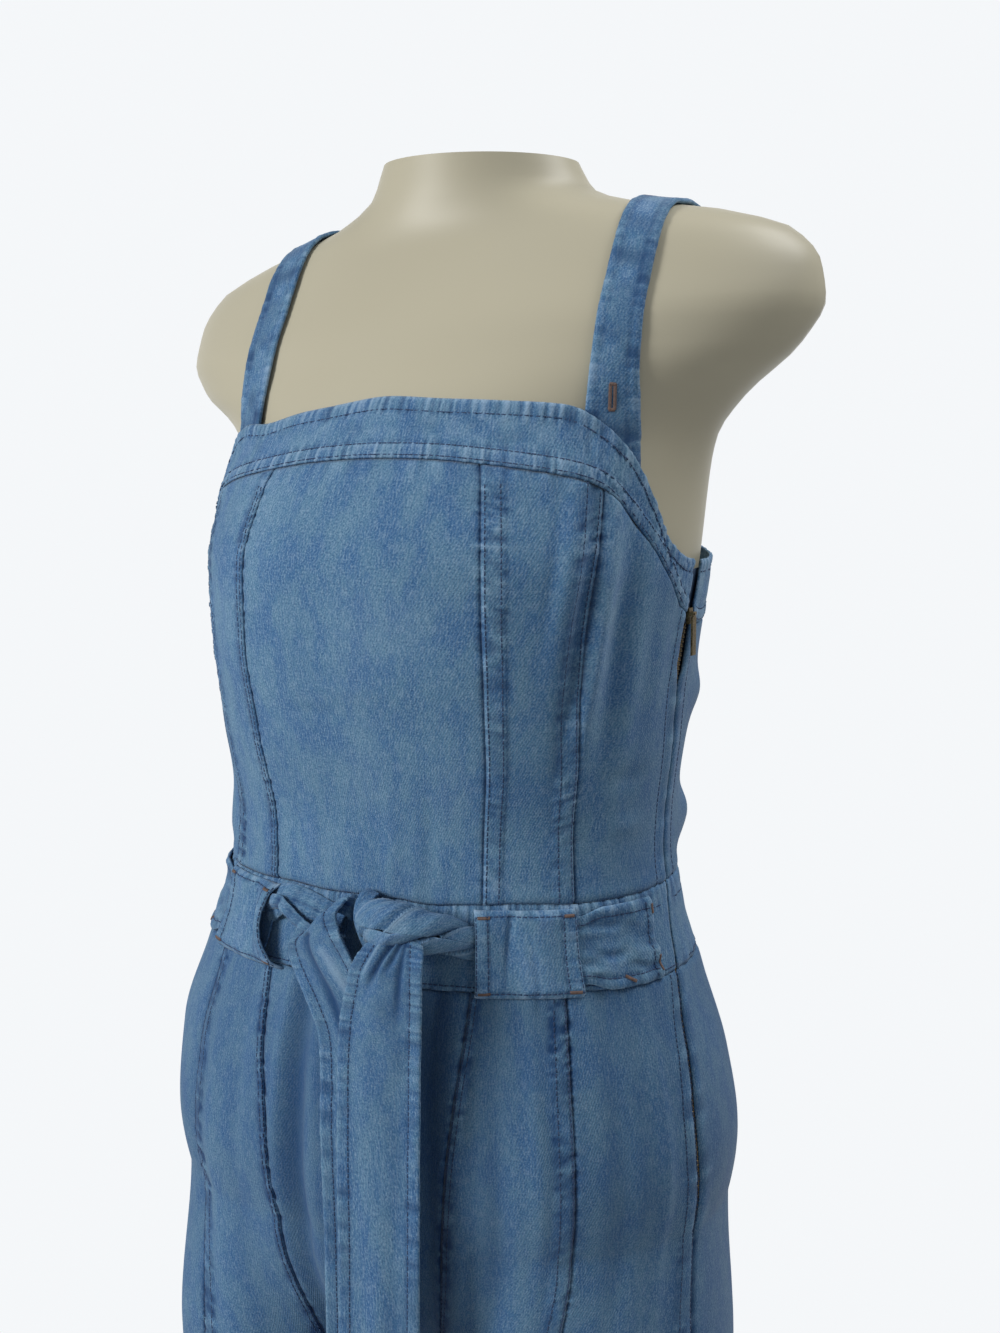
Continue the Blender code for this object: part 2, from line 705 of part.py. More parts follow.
def slider_and_tab(spot, metal):
    """Slider on the chain with two lugs and a pin, and the tab that swings on the pin."""
    base = Vector((spot.x + CHAIN_OUT + CHAIN_WALL + SEAM_GAP + SLIDER_HALF.x, spot.y, SLIDER_LEVEL))
    slider = box("zip_slider", base, SLIDER_HALF, metal)
    pin = Vector((base.x + SLIDER_HALF.x + EYE_RADIUS + SEAM_GAP, base.y, base.z + 0.0012))
    lugs = [box("lug", Vector((pin.x - 0.0005, pin.y + way * LUG_Y, pin.z)), LUG_HALF, metal)
            for way in (-1, 1)]
    bar = rod("pin", pin, PIN_RADIUS, 2 * LUG_Y, 12, metal)
    join(slider, lugs + [bar])
    tab = rod("zip_pull_tab", pin, EYE_RADIUS, 2 * EYE_HALF_LENGTH, 16, metal)
    plate = box("plate", pin - Vector((0.0, 0.0, NECK_LENGTH + TAB_HALF.z)), TAB_HALF, metal)
    neck_half = Vector((TAB_HALF.x, EYE_HALF_LENGTH * 0.9, NECK_LENGTH / 2 + 0.0002))
    neck = box("neck", pin - Vector((0.0, 0.0, neck_half.z)), neck_half, metal)
    join(tab, [neck, plate])
    bore = rod("bore", pin, EYE_BORE, 4 * EYE_HALF_LENGTH, 16, metal)
    join(tab, [bore], "DIFFERENCE")


def main():
    clear_scene()
    denim = finish("light washed denim", (0.085, 0.178, 0.300), 0.85)
    shell = finish("satin cream form", (0.510, 0.475, 0.368), 0.45)
    metal = finish("satin steel", (0.550, 0.550, 0.550), 0.35, 1.0)
    tape = finish("woven zip tape", (0.030, 0.070, 0.130), 0.90)
    brass = finish("antique brass", (0.420, 0.330, 0.180), 0.40, 1.0)

    bodice(denim)
    waistband(denim)
    trousers(denim)
    surface = form(shell)
    stand(metal)
    for side, word in ((1, "left"), (-1, "right")):
        strap(f"strap_{word}", side, surface, denim)
        carrier(f"belt_carrier_{word}", side, denim)
    sash_run("sash_left", 1, SASH_END_LEFT, denim)
    sash_run("sash_right", -1, SASH_END_RIGHT, denim)
    knot(denim)
    tail("sash_tail_front", TAIL_FRONT, denim)
    tail("sash_tail_back", TAIL_BACK, denim)
    spot = zip_parts(tape, brass)
    slider_and_tab(spot, brass)


main()
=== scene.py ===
import math

import bpy
import numpy as np

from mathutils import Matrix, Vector


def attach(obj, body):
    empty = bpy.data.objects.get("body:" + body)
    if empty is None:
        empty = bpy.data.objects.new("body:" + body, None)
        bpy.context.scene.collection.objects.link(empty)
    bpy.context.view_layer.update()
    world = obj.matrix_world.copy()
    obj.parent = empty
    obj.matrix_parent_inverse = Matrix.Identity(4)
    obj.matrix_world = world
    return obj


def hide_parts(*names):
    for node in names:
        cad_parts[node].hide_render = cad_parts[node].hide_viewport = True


bl_info = {
    "name": "Denim jumpsuit on a dress form",
    "version": (1, 0, 0),
    "blender": (4, 5, 0),
    "location": "3D View > Sidebar > Jumpsuit",
    "description": "Dresses the packed solids as a washed denim jumpsuit with a tied sash",
    "category": "Object",
}

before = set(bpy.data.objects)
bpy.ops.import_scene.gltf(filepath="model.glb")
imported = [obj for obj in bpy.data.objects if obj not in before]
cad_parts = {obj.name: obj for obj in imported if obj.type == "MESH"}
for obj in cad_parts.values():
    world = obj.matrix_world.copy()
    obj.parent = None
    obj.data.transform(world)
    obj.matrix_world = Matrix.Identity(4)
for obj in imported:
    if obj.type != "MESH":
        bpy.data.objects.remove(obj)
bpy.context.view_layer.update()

# Levels of the garment, as in the solids, in metres
WAIST_SEAM = 1.060
WAISTBAND_FOOT = 1.012
RISE_START = 0.860
CROTCH = 0.757
HEM = 0.045
CROTCH_REACH = 0.24
WALL = 0.0016
SASH_OUT = WALL + 0.0006
SHOULDER_TILT = math.radians(4.5)

# Mean radii that turn an angle round the body into a length along the cloth, and the girth of one leg
CHEST_RADIUS = 0.130
SEAM_RADIUS = 0.132
WAIST_RADIUS = 0.135
SIDE_RADIUS = 0.140
LEG_GIRTH = 0.55

# Rows of topstitching: distance from the fold of a felled seam, from its far edge, and from the zip's middle
FIRST_ROW = 0.0018
LAST_ROW = 0.0012
PLACKET_ROW = 0.0130

# A seam's relief is worked out this far from it
SEAM_REACH = 0.03

# Painted shading of a fold for each metre of its height: below 0, painted shade in its hollows, above 0,
# painted highlight on its ridges, a little less on the ridges of the legs
FOLD_SHADING = 70.0
LEG_RIDGE_HIGHLIGHT = 60.0

# Length of the cut for each length of the finished surface, for puckers too fine to draw
SPARE_CLOTH = 1.03

# Small steps that give a surface's own directions: in degrees, in metres, and along a surface of unit size
TURN_STEP = 0.05
LEVEL_STEP = 0.0005
PLACE_STEP = 0.002

# Body of the form: level, centre x, half width, y of the widest line, front y, back y, fullness
BODY = [
    (0.796, -0.006, 0.080, 0.010, -0.048, 0.066, 2.0),
    (0.811, -0.006, 0.124, 0.010, -0.075, 0.098, 2.1),
    (0.845, -0.006, 0.155, 0.009, -0.095, 0.120, 2.2),
    (0.900, -0.006, 0.165, 0.006, -0.104, 0.124, 2.2),
    (0.950, -0.006, 0.161, 0.004, -0.103, 0.115, 2.2),
    (1.000, -0.003, 0.147, 0.001, -0.100, 0.101, 2.2),
    (1.050, 0.000, 0.134, -0.002, -0.096, 0.092, 2.2),
    (1.090, 0.000, 0.129, 0.000, -0.096, 0.093, 2.2),
    (1.150, 0.000, 0.134, 0.004, -0.107, 0.103, 2.3),
    (1.200, 0.000, 0.139, 0.010, -0.117, 0.113, 2.3),
    (1.240, 0.000, 0.143, 0.018, -0.119, 0.120, 2.3),
    (1.285, 0.000, 0.145, 0.030, -0.105, 0.131, 2.2),
    (1.310, 0.000, 0.150, 0.036, -0.092, 0.135, 2.0),
    (1.330, 0.000, 0.166, 0.042, -0.080, 0.137, 1.9),
    (1.355, 0.000, 0.197, 0.050, -0.062, 0.137, 1.9),
    (1.377, 0.000, 0.209, 0.056, -0.048, 0.134, 2.0),
    (1.397, 0.000, 0.206, 0.056, -0.034, 0.128, 2.0),
    (1.417, 0.000, 0.190, 0.053, -0.022, 0.118, 2.0),
    (1.432, 0.000, 0.150, 0.049, -0.015, 0.108, 2.0),
    (1.444, 0.000, 0.100, 0.046, -0.013, 0.100, 2.0),
    (1.457, 0.000, 0.071, 0.044, -0.013, 0.096, 2.0),
    (1.476, 0.000, 0.060, 0.042, -0.014, 0.092, 2.0),
]

# Room between the body and the cloth: level, room
EASE = [
    (0.785, 0.016),
    (0.900, 0.0155),
    (0.950, 0.013),
    (1.000, 0.010),
    (1.050, 0.0065),
    (1.150, 0.0065),
    (1.240, 0.0055),
    (1.330, 0.0050),
]

# Each leg: level, centre x, half width, centre y, half depth
LEG = [
    (0.045, 0.106, 0.098, 0.006, 0.080),
    (0.400, 0.101, 0.093, 0.004, 0.078),
    (0.600, 0.096, 0.090, 0.004, 0.090),
    (0.757, 0.092, 0.089, 0.008, 0.111),
    (0.860, 0.090, 0.087, 0.010, 0.122),
]

# Top edge of the garment and the seam under its band: turn, edge level, seam level
BAND_EDGE, BAND_SEAM = 1, 2
TOP_BAND = [
    (0.0, 1.339, 1.304),
    (16.0, 1.334, 1.302),
    (30.0, 1.331, 1.298),
    (45.0, 1.327, 1.292),
    (53.0, 1.318, 1.286),
    (60.0, 1.304, 1.273),
    (67.0, 1.281, 1.257),
    (74.0, 1.258, 1.240),
    (84.0, 1.247, 1.218),
    (96.0, 1.245, 1.208),
    (130.0, 1.252, 1.214),
    (180.0, 1.260, 1.221),
]

# Seams of one side of the body: level, princess seam, side front seam, side seam, as turns
PRINCESS, SIDE_FRONT, SIDE_SEAM = 1, 2, 3
SEAMS = [
    (0.860, 24.0, 52.5, 80.0),
    (0.915, 26.0, 53.0, 79.0),
    (0.975, 30.0, 53.8, 81.0),
    (1.012, 32.3, 54.5, 84.5),
    (1.060, 35.5, 58.5, 89.0),
    (1.120, 35.0, 57.0, 89.5),
    (1.180, 32.5, 54.0, 87.0),
    (1.230, 30.0, 53.3, 88.0),
    (1.300, 27.0, 53.6, 90.0),
]

# Large folds of the bodice: turn, spread in degrees, level, reach, height (troughs below 0)
BODICE_FOLDS = [
    (47.0, 3.5, 1.245, 0.050, 0.0030),
    (62.0, 4.5, 1.235, 0.050, -0.0020),
    (118.0, 13.0, 1.090, 0.018, 0.0120),
    (150.0, 12.0, 1.130, 0.015, 0.0060),
    (-118.0, 13.0, 1.085, 0.016, 0.0070),
    (-150.0, 12.0, 1.120, 0.015, 0.0055),
    (110.0, 9.0, 1.165, 0.014, 0.0050),
    (-68.0, 6.0, 1.085, 0.020, 0.0030),
]

# Creases that only the cloth itself shows, in the same columns
BODICE_CREASES = [
    (44.0, 1.6, 1.250, 0.035, -0.0014),
    (51.5, 2.0, 1.220, 0.060, -0.0046),
    (56.5, 2.2, 1.215, 0.065, 0.0038),
    (62.0, 2.4, 1.200, 0.055, -0.0034),
    (67.5, 2.6, 1.185, 0.050, 0.0016),
    (-12.0, 9.0, 1.165, 0.004, -0.0007),
    (-2.0, 12.0, 1.178, 0.005, 0.0006),
    (20.0, 2.5, 1.090, 0.030, -0.0008),
    (8.0, 3.0, 1.085, 0.028, 0.0008),
    (-20.0, 3.0, 1.090, 0.030, 0.0008),
    (72.0, 5.0, 1.100, 0.006, 0.0012),
    (70.0, 6.0, 1.128, 0.006, -0.0012),
    (76.0, 3.0, 1.200, 0.040, 0.0010),
    (-72.0, 6.0, 1.126, 0.006, -0.0012),
    (-76.0, 5.0, 1.098, 0.006, 0.0012),
    (-60.0, 2.2, 1.215, 0.055, -0.0018),
    (-118.0, 4.0, 1.175, 0.040, -0.0012),
    (122.0, 4.0, 1.180, 0.040, 0.0012),
    (136.0, 3.0, 1.200, 0.035, -0.0020),
    (-141.0, 3.0, 1.205, 0.035, 0.0020),
    (150.0, 13.0, 1.086, 0.006, 0.0030),
    (160.0, 14.0, 1.106, 0.007, -0.0028),
    (-152.0, 13.0, 1.097, 0.006, 0.0030),
    (-146.0, 15.0, 1.078, 0.006, -0.0026),
    (-168.0, 11.0, 1.120, 0.007, 0.0024),
]

# Large folds of each trouser leg, upright: share round the leg, spread, level, reach, height
LEG_FOLDS = [
    (0.110, 0.030, 0.820, 0.130, -0.0050),
    (0.235, 0.035, 0.600, 0.260, 0.0060),
    (0.400, 0.030, 0.640, 0.260, -0.0060),
    (0.330, 0.030, 0.300, 0.240, 0.0055),
    (0.610, 0.040, 0.560, 0.280, -0.0060),
    (0.760, 0.040, 0.480, 0.300, 0.0065),
    (0.885, 0.035, 0.600, 0.220, -0.0050),
]

# Softer folds that only the cloth shows: side, share, spread, level, reach, height
LEG_CREASES = [
    (-1, 0.060, 0.015, 0.900, 0.120, 0.0010),
    (-1, 0.098, 0.017, 0.920, 0.120, -0.0060),
    (-1, 0.130, 0.012, 0.930, 0.110, 0.0022),
    (-1, 0.205, 0.012, 0.930, 0.080, -0.0012),
    (-1, 0.300, 0.012, 0.900, 0.120, -0.0014),
    (-1, 0.250, 0.016, 0.860, 0.120, 0.0016),
    (1, 0.060, 0.015, 0.900, 0.120, 0.0010),
    (1, 0.122, 0.022, 0.930, 0.130, -0.0055),
    (1, 0.160, 0.010, 0.920, 0.110, 0.0014),
    (1, 0.210, 0.014, 0.880, 0.110, -0.0016),
    (1, 0.255, 0.012, 0.930, 0.090, 0.0014),
    (1, 0.345, 0.014, 0.900, 0.110, -0.0016),
    (1, 0.395, 0.010, 0.900, 0.130, 0.0020),
    (1, 0.660, 0.020, 0.900, 0.100, 0.0014),
    (1, 0.800, 0.018, 0.790, 0.090, -0.0020),
    (1, 0.880, 0.014, 0.770, 0.080, 0.0018),
    (-1, 0.690, 0.020, 0.880, 0.100, -0.0014),
    (-1, 0.820, 0.018, 0.780, 0.080, -0.0018),
    (-1, 0.900, 0.015, 0.760, 0.090, 0.0018),
    (1, 0.300, 0.016, 0.520, 0.150, -0.0020),
    (-1, 0.280, 0.016, 0.480, 0.140, 0.0018),
]

# Sash and its carriers
SASH_WIDTH = 0.046
SASH_LEVEL = WAIST_SEAM - 0.025
SASH_HALF_IN_CARRIER = 0.0185
CARRIER_TURNS = (33.0, 58.0)
CARRIER_LEVELS = (WAIST_SEAM - 0.0018, WAISTBAND_FOOT - 0.002)
ANCHOR_TURN = 79.0

# Twisted sash between the knot and the left carrier: x, y, z, half height, half depth
KNOT_ROWS = [
    (0.0020, -0.1170, 1.0500, 0.0050, 0.0035),
    (0.0080, -0.1200, 1.0515, 0.0105, 0.0075),
    (0.0180, -0.1235, 1.0520, 0.0128, 0.0105),
    (0.0280, -0.1245, 1.0515, 0.0125, 0.0112),
    (0.0380, -0.1225, 1.0505, 0.0122, 0.0108),
    (0.0480, -0.1150, 1.0475, 0.0104, 0.0086),
    (0.0565, -0.1060, 1.0432, 0.0092, 0.0060),
    (0.0650, -0.0975, 1.0396, 0.0088, 0.0030),
    (0.0750, -0.0915, 1.0380, 0.0088, 0.0014),
]

# Ribbons: x, y, z, half width, lean of the width, push of its right side, arch, fold depth
RIBBON_FRONT = [
    (0.0310, -0.1220, 1.0500, 0.0120, 0, 0.0, 0.0020, 0.0004),
    (0.0310, -0.1325, 1.0425, 0.0180, 0, 0.0, 0.0032, 0.0012),
    (0.0290, -0.1380, 1.0310, 0.0222, 0, 0.0, 0.0026, 0.0016),
    (0.0280, -0.1395, 1.0180, 0.0240, 0, 0.0, 0.0020, 0.0014),
    (0.0258, -0.1395, 1.0000, 0.0255, 0, 0.0, 0.0015, 0.0012),
    (0.0243, -0.1390, 0.9760, 0.0260, 0, 0.0, 0.0010, 0.0011),
    (0.0236, -0.1388, 0.9400, 0.0262, 0, 0.0, 0.0010, 0.0010),
    (0.0230, -0.1386, 0.8900, 0.0262, 0, 0.0, 0.0010, 0.0010),
    (0.0225, -0.1385, 0.8400, 0.0260, 0, 0.0, 0.0010, 0.0010),
    (0.0220, -0.1385, 0.7900, 0.0258, 0, 0.0, 0.0010, 0.0010),
    (0.0220, -0.1385, 0.7450, 0.0256, 0, 0.0, 0.0008, 0.0010),
    (0.0220, -0.1385, 0.7000, 0.0255, 0, 0.0, 0.0005, 0.0008),
]
RIBBON_BACK = [
    (-0.0020, -0.1120, 1.0530, 0.0080, 60, 0.1, 0.0010, 0.0000),
    (-0.0095, -0.1155, 1.0585, 0.0085, 52, 0.2, 0.0015, 0.0000),
    (-0.0175, -0.1200, 1.0515, 0.0100, 36, 0.3, 0.0020, 0.0003),
    (-0.0250, -0.1205, 1.0430, 0.0172, 24, 0.3, 0.0024, 0.0006),
    (-0.0268, -0.1205, 1.0335, 0.0248, 14, 0.35, 0.0020, 0.0010),
    (-0.0208, -0.1215, 1.0210, 0.0268, 9, 0.3, 0.0010, 0.0014),
    (-0.0105, -0.1235, 1.0040, 0.0235, 3, 0.1, 0.0000, 0.0018),
    (-0.0010, -0.1265, 0.9850, 0.0215, 0, 0.0, 0.0000, 0.0020),
    (0.0025, -0.1280, 0.9650, 0.0225, 0, 0.0, 0.0000, 0.0016),
    (0.0040, -0.1295, 0.9300, 0.0235, 0, 0.0, 0.0000, 0.0012),
    (0.0055, -0.1300, 0.8900, 0.0235, 0, 0.0, 0.0000, 0.0010),
    (0.0065, -0.1305, 0.8500, 0.0235, 0, 0.0, 0.0000, 0.0010),
    (0.0070, -0.1310, 0.8100, 0.0235, 0, 0.0, 0.0000, 0.0010),
    (0.0075, -0.1310, 0.7700, 0.0235, 0, 0.0, 0.0000, 0.0010),
    (0.0080, -0.1310, 0.7300, 0.0230, 0, 0.0, 0.0000, 0.0008),
]
RIBBON_HEM = [
    (-0.0760, -0.0960, 1.0440, 0.0050, 88, 0.0, 0.0004, 0.0000),
    (-0.0660, -0.1015, 1.0480, 0.0052, 84, 0.2, 0.0008, 0.0000),
    (-0.0570, -0.1075, 1.0495, 0.0052, 72, 0.3, 0.0012, 0.0000),
    (-0.0440, -0.1125, 1.0430, 0.0048, 62, 0.3, 0.0012, 0.0000),
    (-0.0320, -0.1165, 1.0395, 0.0040, 60, 0.3, 0.0010, 0.0000),
    (-0.0240, -0.1150, 1.0375, 0.0030, 60, 0.3, 0.0006, 0.0000),
]
RIBBON_INNER = [
    (-0.0760, -0.0945, 1.0420, 0.0120, 89, 0.0, 0.0004, 0.0002),
    (-0.0660, -0.0985, 1.0470, 0.0110, 86, -0.1, 0.0010, 0.0004),
    (-0.0540, -0.1030, 1.0520, 0.0090, 80, -0.2, 0.0012, 0.0006),
    (-0.0400, -0.1065, 1.0510, 0.0085, 74, -0.3, 0.0012, 0.0006),
    (-0.0260, -0.1085, 1.0475, 0.0080, 70, -0.3, 0.0010, 0.0004),
    (-0.0140, -0.1085, 1.0450, 0.0070, 70, -0.2, 0.0006, 0.0002),
]
RIBBON_HOLLOW = [
    (0.0040, -0.1080, 1.0640, 0.0070, 4, 0.4, 0.0016, 0.0004),
    (0.0020, -0.1135, 1.0610, 0.0080, 6, 0.4, 0.0026, 0.0006),
    (0.0010, -0.1155, 1.0520, 0.0085, 4, 0.4, 0.0030, 0.0010),
    (0.0030, -0.1160, 1.0420, 0.0080, 2, 0.4, 0.0024, 0.0010),
    (0.0070, -0.1165, 1.0320, 0.0070, 0, 0.4, 0.0016, 0.0004),
]

# Creases of the tails: across at its start and at its end, along from and to, spread, height
FRONT_CREASES = [
    (0.05, -0.45, 0.06, 0.30, 0.10, -0.0042),
    (0.30, 0.05, 0.05, 0.22, 0.09, -0.0028),
    (-0.30, -0.62, 0.07, 0.26, 0.08, 0.0018),
    (0.42, 0.40, 0.06, 0.40, 0.07, -0.0012),
]
BACK_CREASES = [
    (-0.20, -0.05, 0.24, 0.62, 0.16, -0.0024),
    (0.35, 0.55, 0.30, 0.55, 0.16, 0.0010),
]

# Zip at the wearer's left side
ZIP_TOP = 1.236
ZIP_FOOT = 0.872
ZIP_HALF_TURN = 2.2
ZIP_SHUT_TURN = 0.4
TAPE_HALF_TURN = 5.0
SLIDER_LEVEL = 1.214

# Straps
STRAP_X = 0.114
STRAP_SHIFT = 0.006
STRAP_BACK_X = 0.082
STRAP_WIDTH = 0.024
STRAP_PIVOT = (0.045, 1.330)
STRAP_FRONT_ANGLE = math.radians(107.0)
STRAP_BACK_ANGLE = math.radians(-136.0)
TAPE_SETBACK = 0.0013


class JumpsuitSizes(bpy.types.PropertyGroup):
    """Sizes of the cloth's finish"""
    wale_pitch: bpy.props.FloatProperty(
        name="Wale pitch", description="Spacing of the diagonal ribs of the twill",
        default=0.0015, min=0.0005, max=0.005, precision=4, unit="LENGTH")
    stitch_pitch: bpy.props.FloatProperty(
        name="Stitch pitch", description="Distance from one stitch to the next",
        default=0.0032, min=0.001, max=0.01, precision=4, unit="LENGTH")
    thread_width: bpy.props.FloatProperty(
        name="Thread width", description="Width of the topstitching thread",
        default=0.0007, min=0.0002, max=0.002, precision=4, unit="LENGTH")
    felled_width: bpy.props.FloatProperty(
        name="Felled seam", description="Width of a flat felled seam",
        default=0.0105, min=0.004, max=0.02, precision=4, unit="LENGTH")
    cloth_thickness: bpy.props.FloatProperty(
        name="Cloth", description="Thickness of the denim",
        default=0.0012, min=0.0005, max=0.003, precision=4, unit="LENGTH")
    tooth_pitch: bpy.props.FloatProperty(
        name="Zip tooth pitch", description="Distance between the teeth of one side of the zip",
        default=0.0026, min=0.001, max=0.006, precision=4, unit="LENGTH")


def from_hex(text):
    """Linear colour of an sRGB hex value."""
    parts = [int(text[k:k + 2], 16) / 255 for k in (1, 3, 5)]
    return tuple(c / 12.92 if c <= 0.04045 else ((c + 0.055) / 1.055) ** 2.4 for c in parts)


def colour_property(name, description, text):
    return bpy.props.FloatVectorProperty(name=name, description=description, subtype="COLOR", size=3,
                                         min=0.0, max=1.0, default=from_hex(text))


class JumpsuitColours(bpy.types.PropertyGroup):
    """Colours of the finishes"""
    denim: colour_property("Denim", "Washed warp colour", "#4F7CA2")
    denim_faded: colour_property("Faded denim", "Grey blue of the faded clouds", "#6C94AC")
    denim_deep: colour_property("Deep denim", "Bluer clouds that kept their dye", "#3A6A9E")
    # Dark denim and worn denim also paint shade and highlight: shade in fold hollows, on the sides and over
    # the trousers and sash, highlight on fold ridges
    denim_dark: colour_property("Dark denim", "Unworn indigo in the hollows", "#1F4470")
    denim_worn_and_highlit: colour_property("Worn denim", "Rubbed ridges and edges", "#98B4CE")
    thread: colour_property("Thread", "Tonal topstitching", "#2C456C")
    rust: colour_property("Bartack thread", "Brown thread of bartacks and buttonholes", "#705A52")
    form: colour_property("Form", "Cream of the dress form", "#C0BAA4")
    steel: colour_property("Steel", "Stand", "#B8B8B8")
    brass: colour_property("Brass", "Antique brass of the zip", "#A58F66")
    tape: colour_property("Tape", "Zip tape", "#2A4566")
    floor: colour_property("Floor", "Studio floor", "#E4E4E2")


# Tables and curves

def curve(table, at, column):
    """Value of a table column at a level or turn, on a curve that never overshoots its rows."""
    rows = np.asarray(table, float)
    x, y = rows[:, 0], rows[:, column]
    at = np.clip(at, x[0], x[-1])
    rate = np.diff(y) / np.diff(x)
    slope = np.concatenate([rate[:1], np.zeros(len(x) - 2), rate[-1:]])
    before, after = rate[:-1], rate[1:]
    same = before * after > 0
    slope[1:-1] = np.where(same, 2 * before * after / np.where(same, before + after, 1.0), 0.0)
    k = np.clip(np.searchsorted(x, at, side="right") - 1, 0, len(x) - 2)
    step = x[k + 1] - x[k]
    t = (at - x[k]) / step
    rise = (3 - 2 * t) * t * t
    return (y[k] * (1 - rise) + y[k + 1] * rise + slope[k] * step * t * (1 - t) ** 2
            + slope[k + 1] * step * t * t * (t - 1))


def ramp(value, low, high):
    """Smooth rise from 0 at low to 1 at high."""
    t = np.clip((value - low) / (high - low), 0.0, 1.0)
    return t * t * (3 - 2 * t)


def bump(value, at, spread):
    """Smooth hump of height 1 at a place."""
    return np.exp(-(((value - at) / spread) ** 2))


def grain(x, y, seed):
    """Smooth noise from -1 to 1 whose cells are one unit across."""
    lattice = np.random.default_rng(seed).uniform(-1.0, 1.0, (64, 64))
    x, y = np.broadcast_arrays(np.asarray(x, float), np.asarray(y, float))
    i, j = np.floor(x).astype(int), np.floor(y).astype(int)
    s, t = x - i, y - j
    s, t = s * s * (3 - 2 * s), t * t * (3 - 2 * t)
    low = lattice[i % 64, j % 64] * (1 - s) + lattice[(i + 1) % 64, j % 64] * s
    high = lattice[i % 64, (j + 1) % 64] * (1 - s) + lattice[(i + 1) % 64, (j + 1) % 64] * s
    return low * (1 - t) + high * t


def folds(table, turn, level):
    """Height of all the folds of a table together."""
    total = 0.0
    for at, spread, middle, reach, height in table:
        total = total + height * bump(turn, at, spread) * bump(level, middle, reach)
    return total


# Body and cloth surfaces

def body(turn, level, out):
    """Points on the form at a turn and level, moved out by a distance."""
    centre, half, side, front, back, fullness = (curve(BODY, level, c) for c in range(1, 7))
    sine, cosine = np.sin(np.radians(turn)), np.cos(np.radians(turn))
    depth = np.where(cosine > 0, side - front, back - side) + out
    spread = (np.abs(sine) / (half + out)) ** fullness + (np.abs(cosine) / depth) ** fullness
    radius = spread ** (-1 / fullness)
    x = radius * sine
    tilt = ramp(level, 1.24, 1.38) * (1 - ramp(level, 1.432, 1.474))
    return np.stack([centre + x, side - radius * cosine,
                     level + x * math.tan(SHOULDER_TILT) * tilt], axis=-1)


def wound(turn):
    """Turn counted from -180 to 180."""
    return (turn + 180.0) % 360.0 - 180.0


def cloth(turn, level, out):
    """Points round the body at the cloth's own room from it, moved out by a distance."""
    turn, level = np.broadcast_arrays(turn, level)
    fade = ramp(level, WAIST_SEAM, WAIST_SEAM + 0.020)
    room = curve(EASE, level, 1) + fade * folds(BODICE_FOLDS, wound(turn), level)
    return body(turn, level, room + out)


def leg(side, share, level, out):
    """Points of the trousers: share runs from the front middle round the outside to the back."""
    share, level = np.broadcast_arrays(share, level)
    trunk_level = np.maximum(level, RISE_START)
    fade = ramp(share, 0.0, 0.05) * (1 - ramp(share, 0.95, 1.0)) * (1 - ramp(level, 0.86, 0.98))
    out = out + fade * folds(LEG_FOLDS, share, level)
    trunk = body(share * 180.0 * side, trunk_level, curve(EASE, trunk_level, 1) + out)
    trunk[..., 2] = level
    centre, half, middle, depth = (curve(LEG, level, c) for c in range(1, 5))
    angle = 2 * np.pi * share
    tube = np.stack([side * (centre - (half + out) * np.cos(angle)) + curve(BODY, trunk_level, 1),
                     middle - (depth + out) * np.sin(angle), level + 0.0 * share], axis=-1)
    rise = np.clip((level - CROTCH) / (RISE_START - CROTCH), 0.0, 1.0)
    at_crotch = 1 - ramp(np.minimum(share, 1 - share), 0.0, CROTCH_REACH)
    round_rise = np.sqrt(1 - (1 - rise) ** 2)
    mix = (ramp(rise, 0.0, 1.0) * (1 - at_crotch) + round_rise * at_crotch)[..., None]
    return tube * (1 - mix) + trunk * mix


def seam_turn(column, side=1):
    """A seam of the left or right side, as its turn at a level."""
    return lambda level: side * curve(SEAMS, level, column)


def band_level(column):
    """Level of the band's edge or its seam, round over the middle. The edge waves on the right."""
    def at(turn):
        turn = wound(turn)
        level = curve(TOP_BAND, np.sqrt(turn * turn + 36.0), column)
        lift = 0.0055 * bump(turn, -55.0, 9.0) - 0.0025 * bump(turn, -37.0, 8.0)
        return level + (lift if column == BAND_EDGE else 0.0)
    return at


def waist_level(turn):
    """The waist seam waves a little where the sash pulls on it."""
    turn = wound(turn)
    return WAIST_SEAM + 0.0014 * grain(turn / 15.0, 0.5, 17) - 0.0018 * bump(turn, 20.0, 7.0)


def zip_gape(level):
    """Half turn of the zip's opening: wide round the slider and its tab, and nearly shut below."""
    return ZIP_SHUT_TURN + (ZIP_HALF_TURN - ZIP_SHUT_TURN) * ramp(level, 1.172, 1.188)


def zip_edge(way):
    """Folded edge in front of the zip, way -1, or behind it, way 1."""
    return lambda level: curve(SEAMS, level, SIDE_SEAM) + way * zip_gape(level)


def right_seam_behind(level):
    """The right side seam, counted on from the back."""
    return 360.0 - curve(SEAMS, level, SIDE_SEAM)


# Relief of the sewing: heights in metres, and a value from -1 to 1 that pales the cloth where it is worn and
# darkens it where it kept its dye; in folds and creases, on the sides, over the trousers and over the sash it
# also holds painted shade and painted highlight

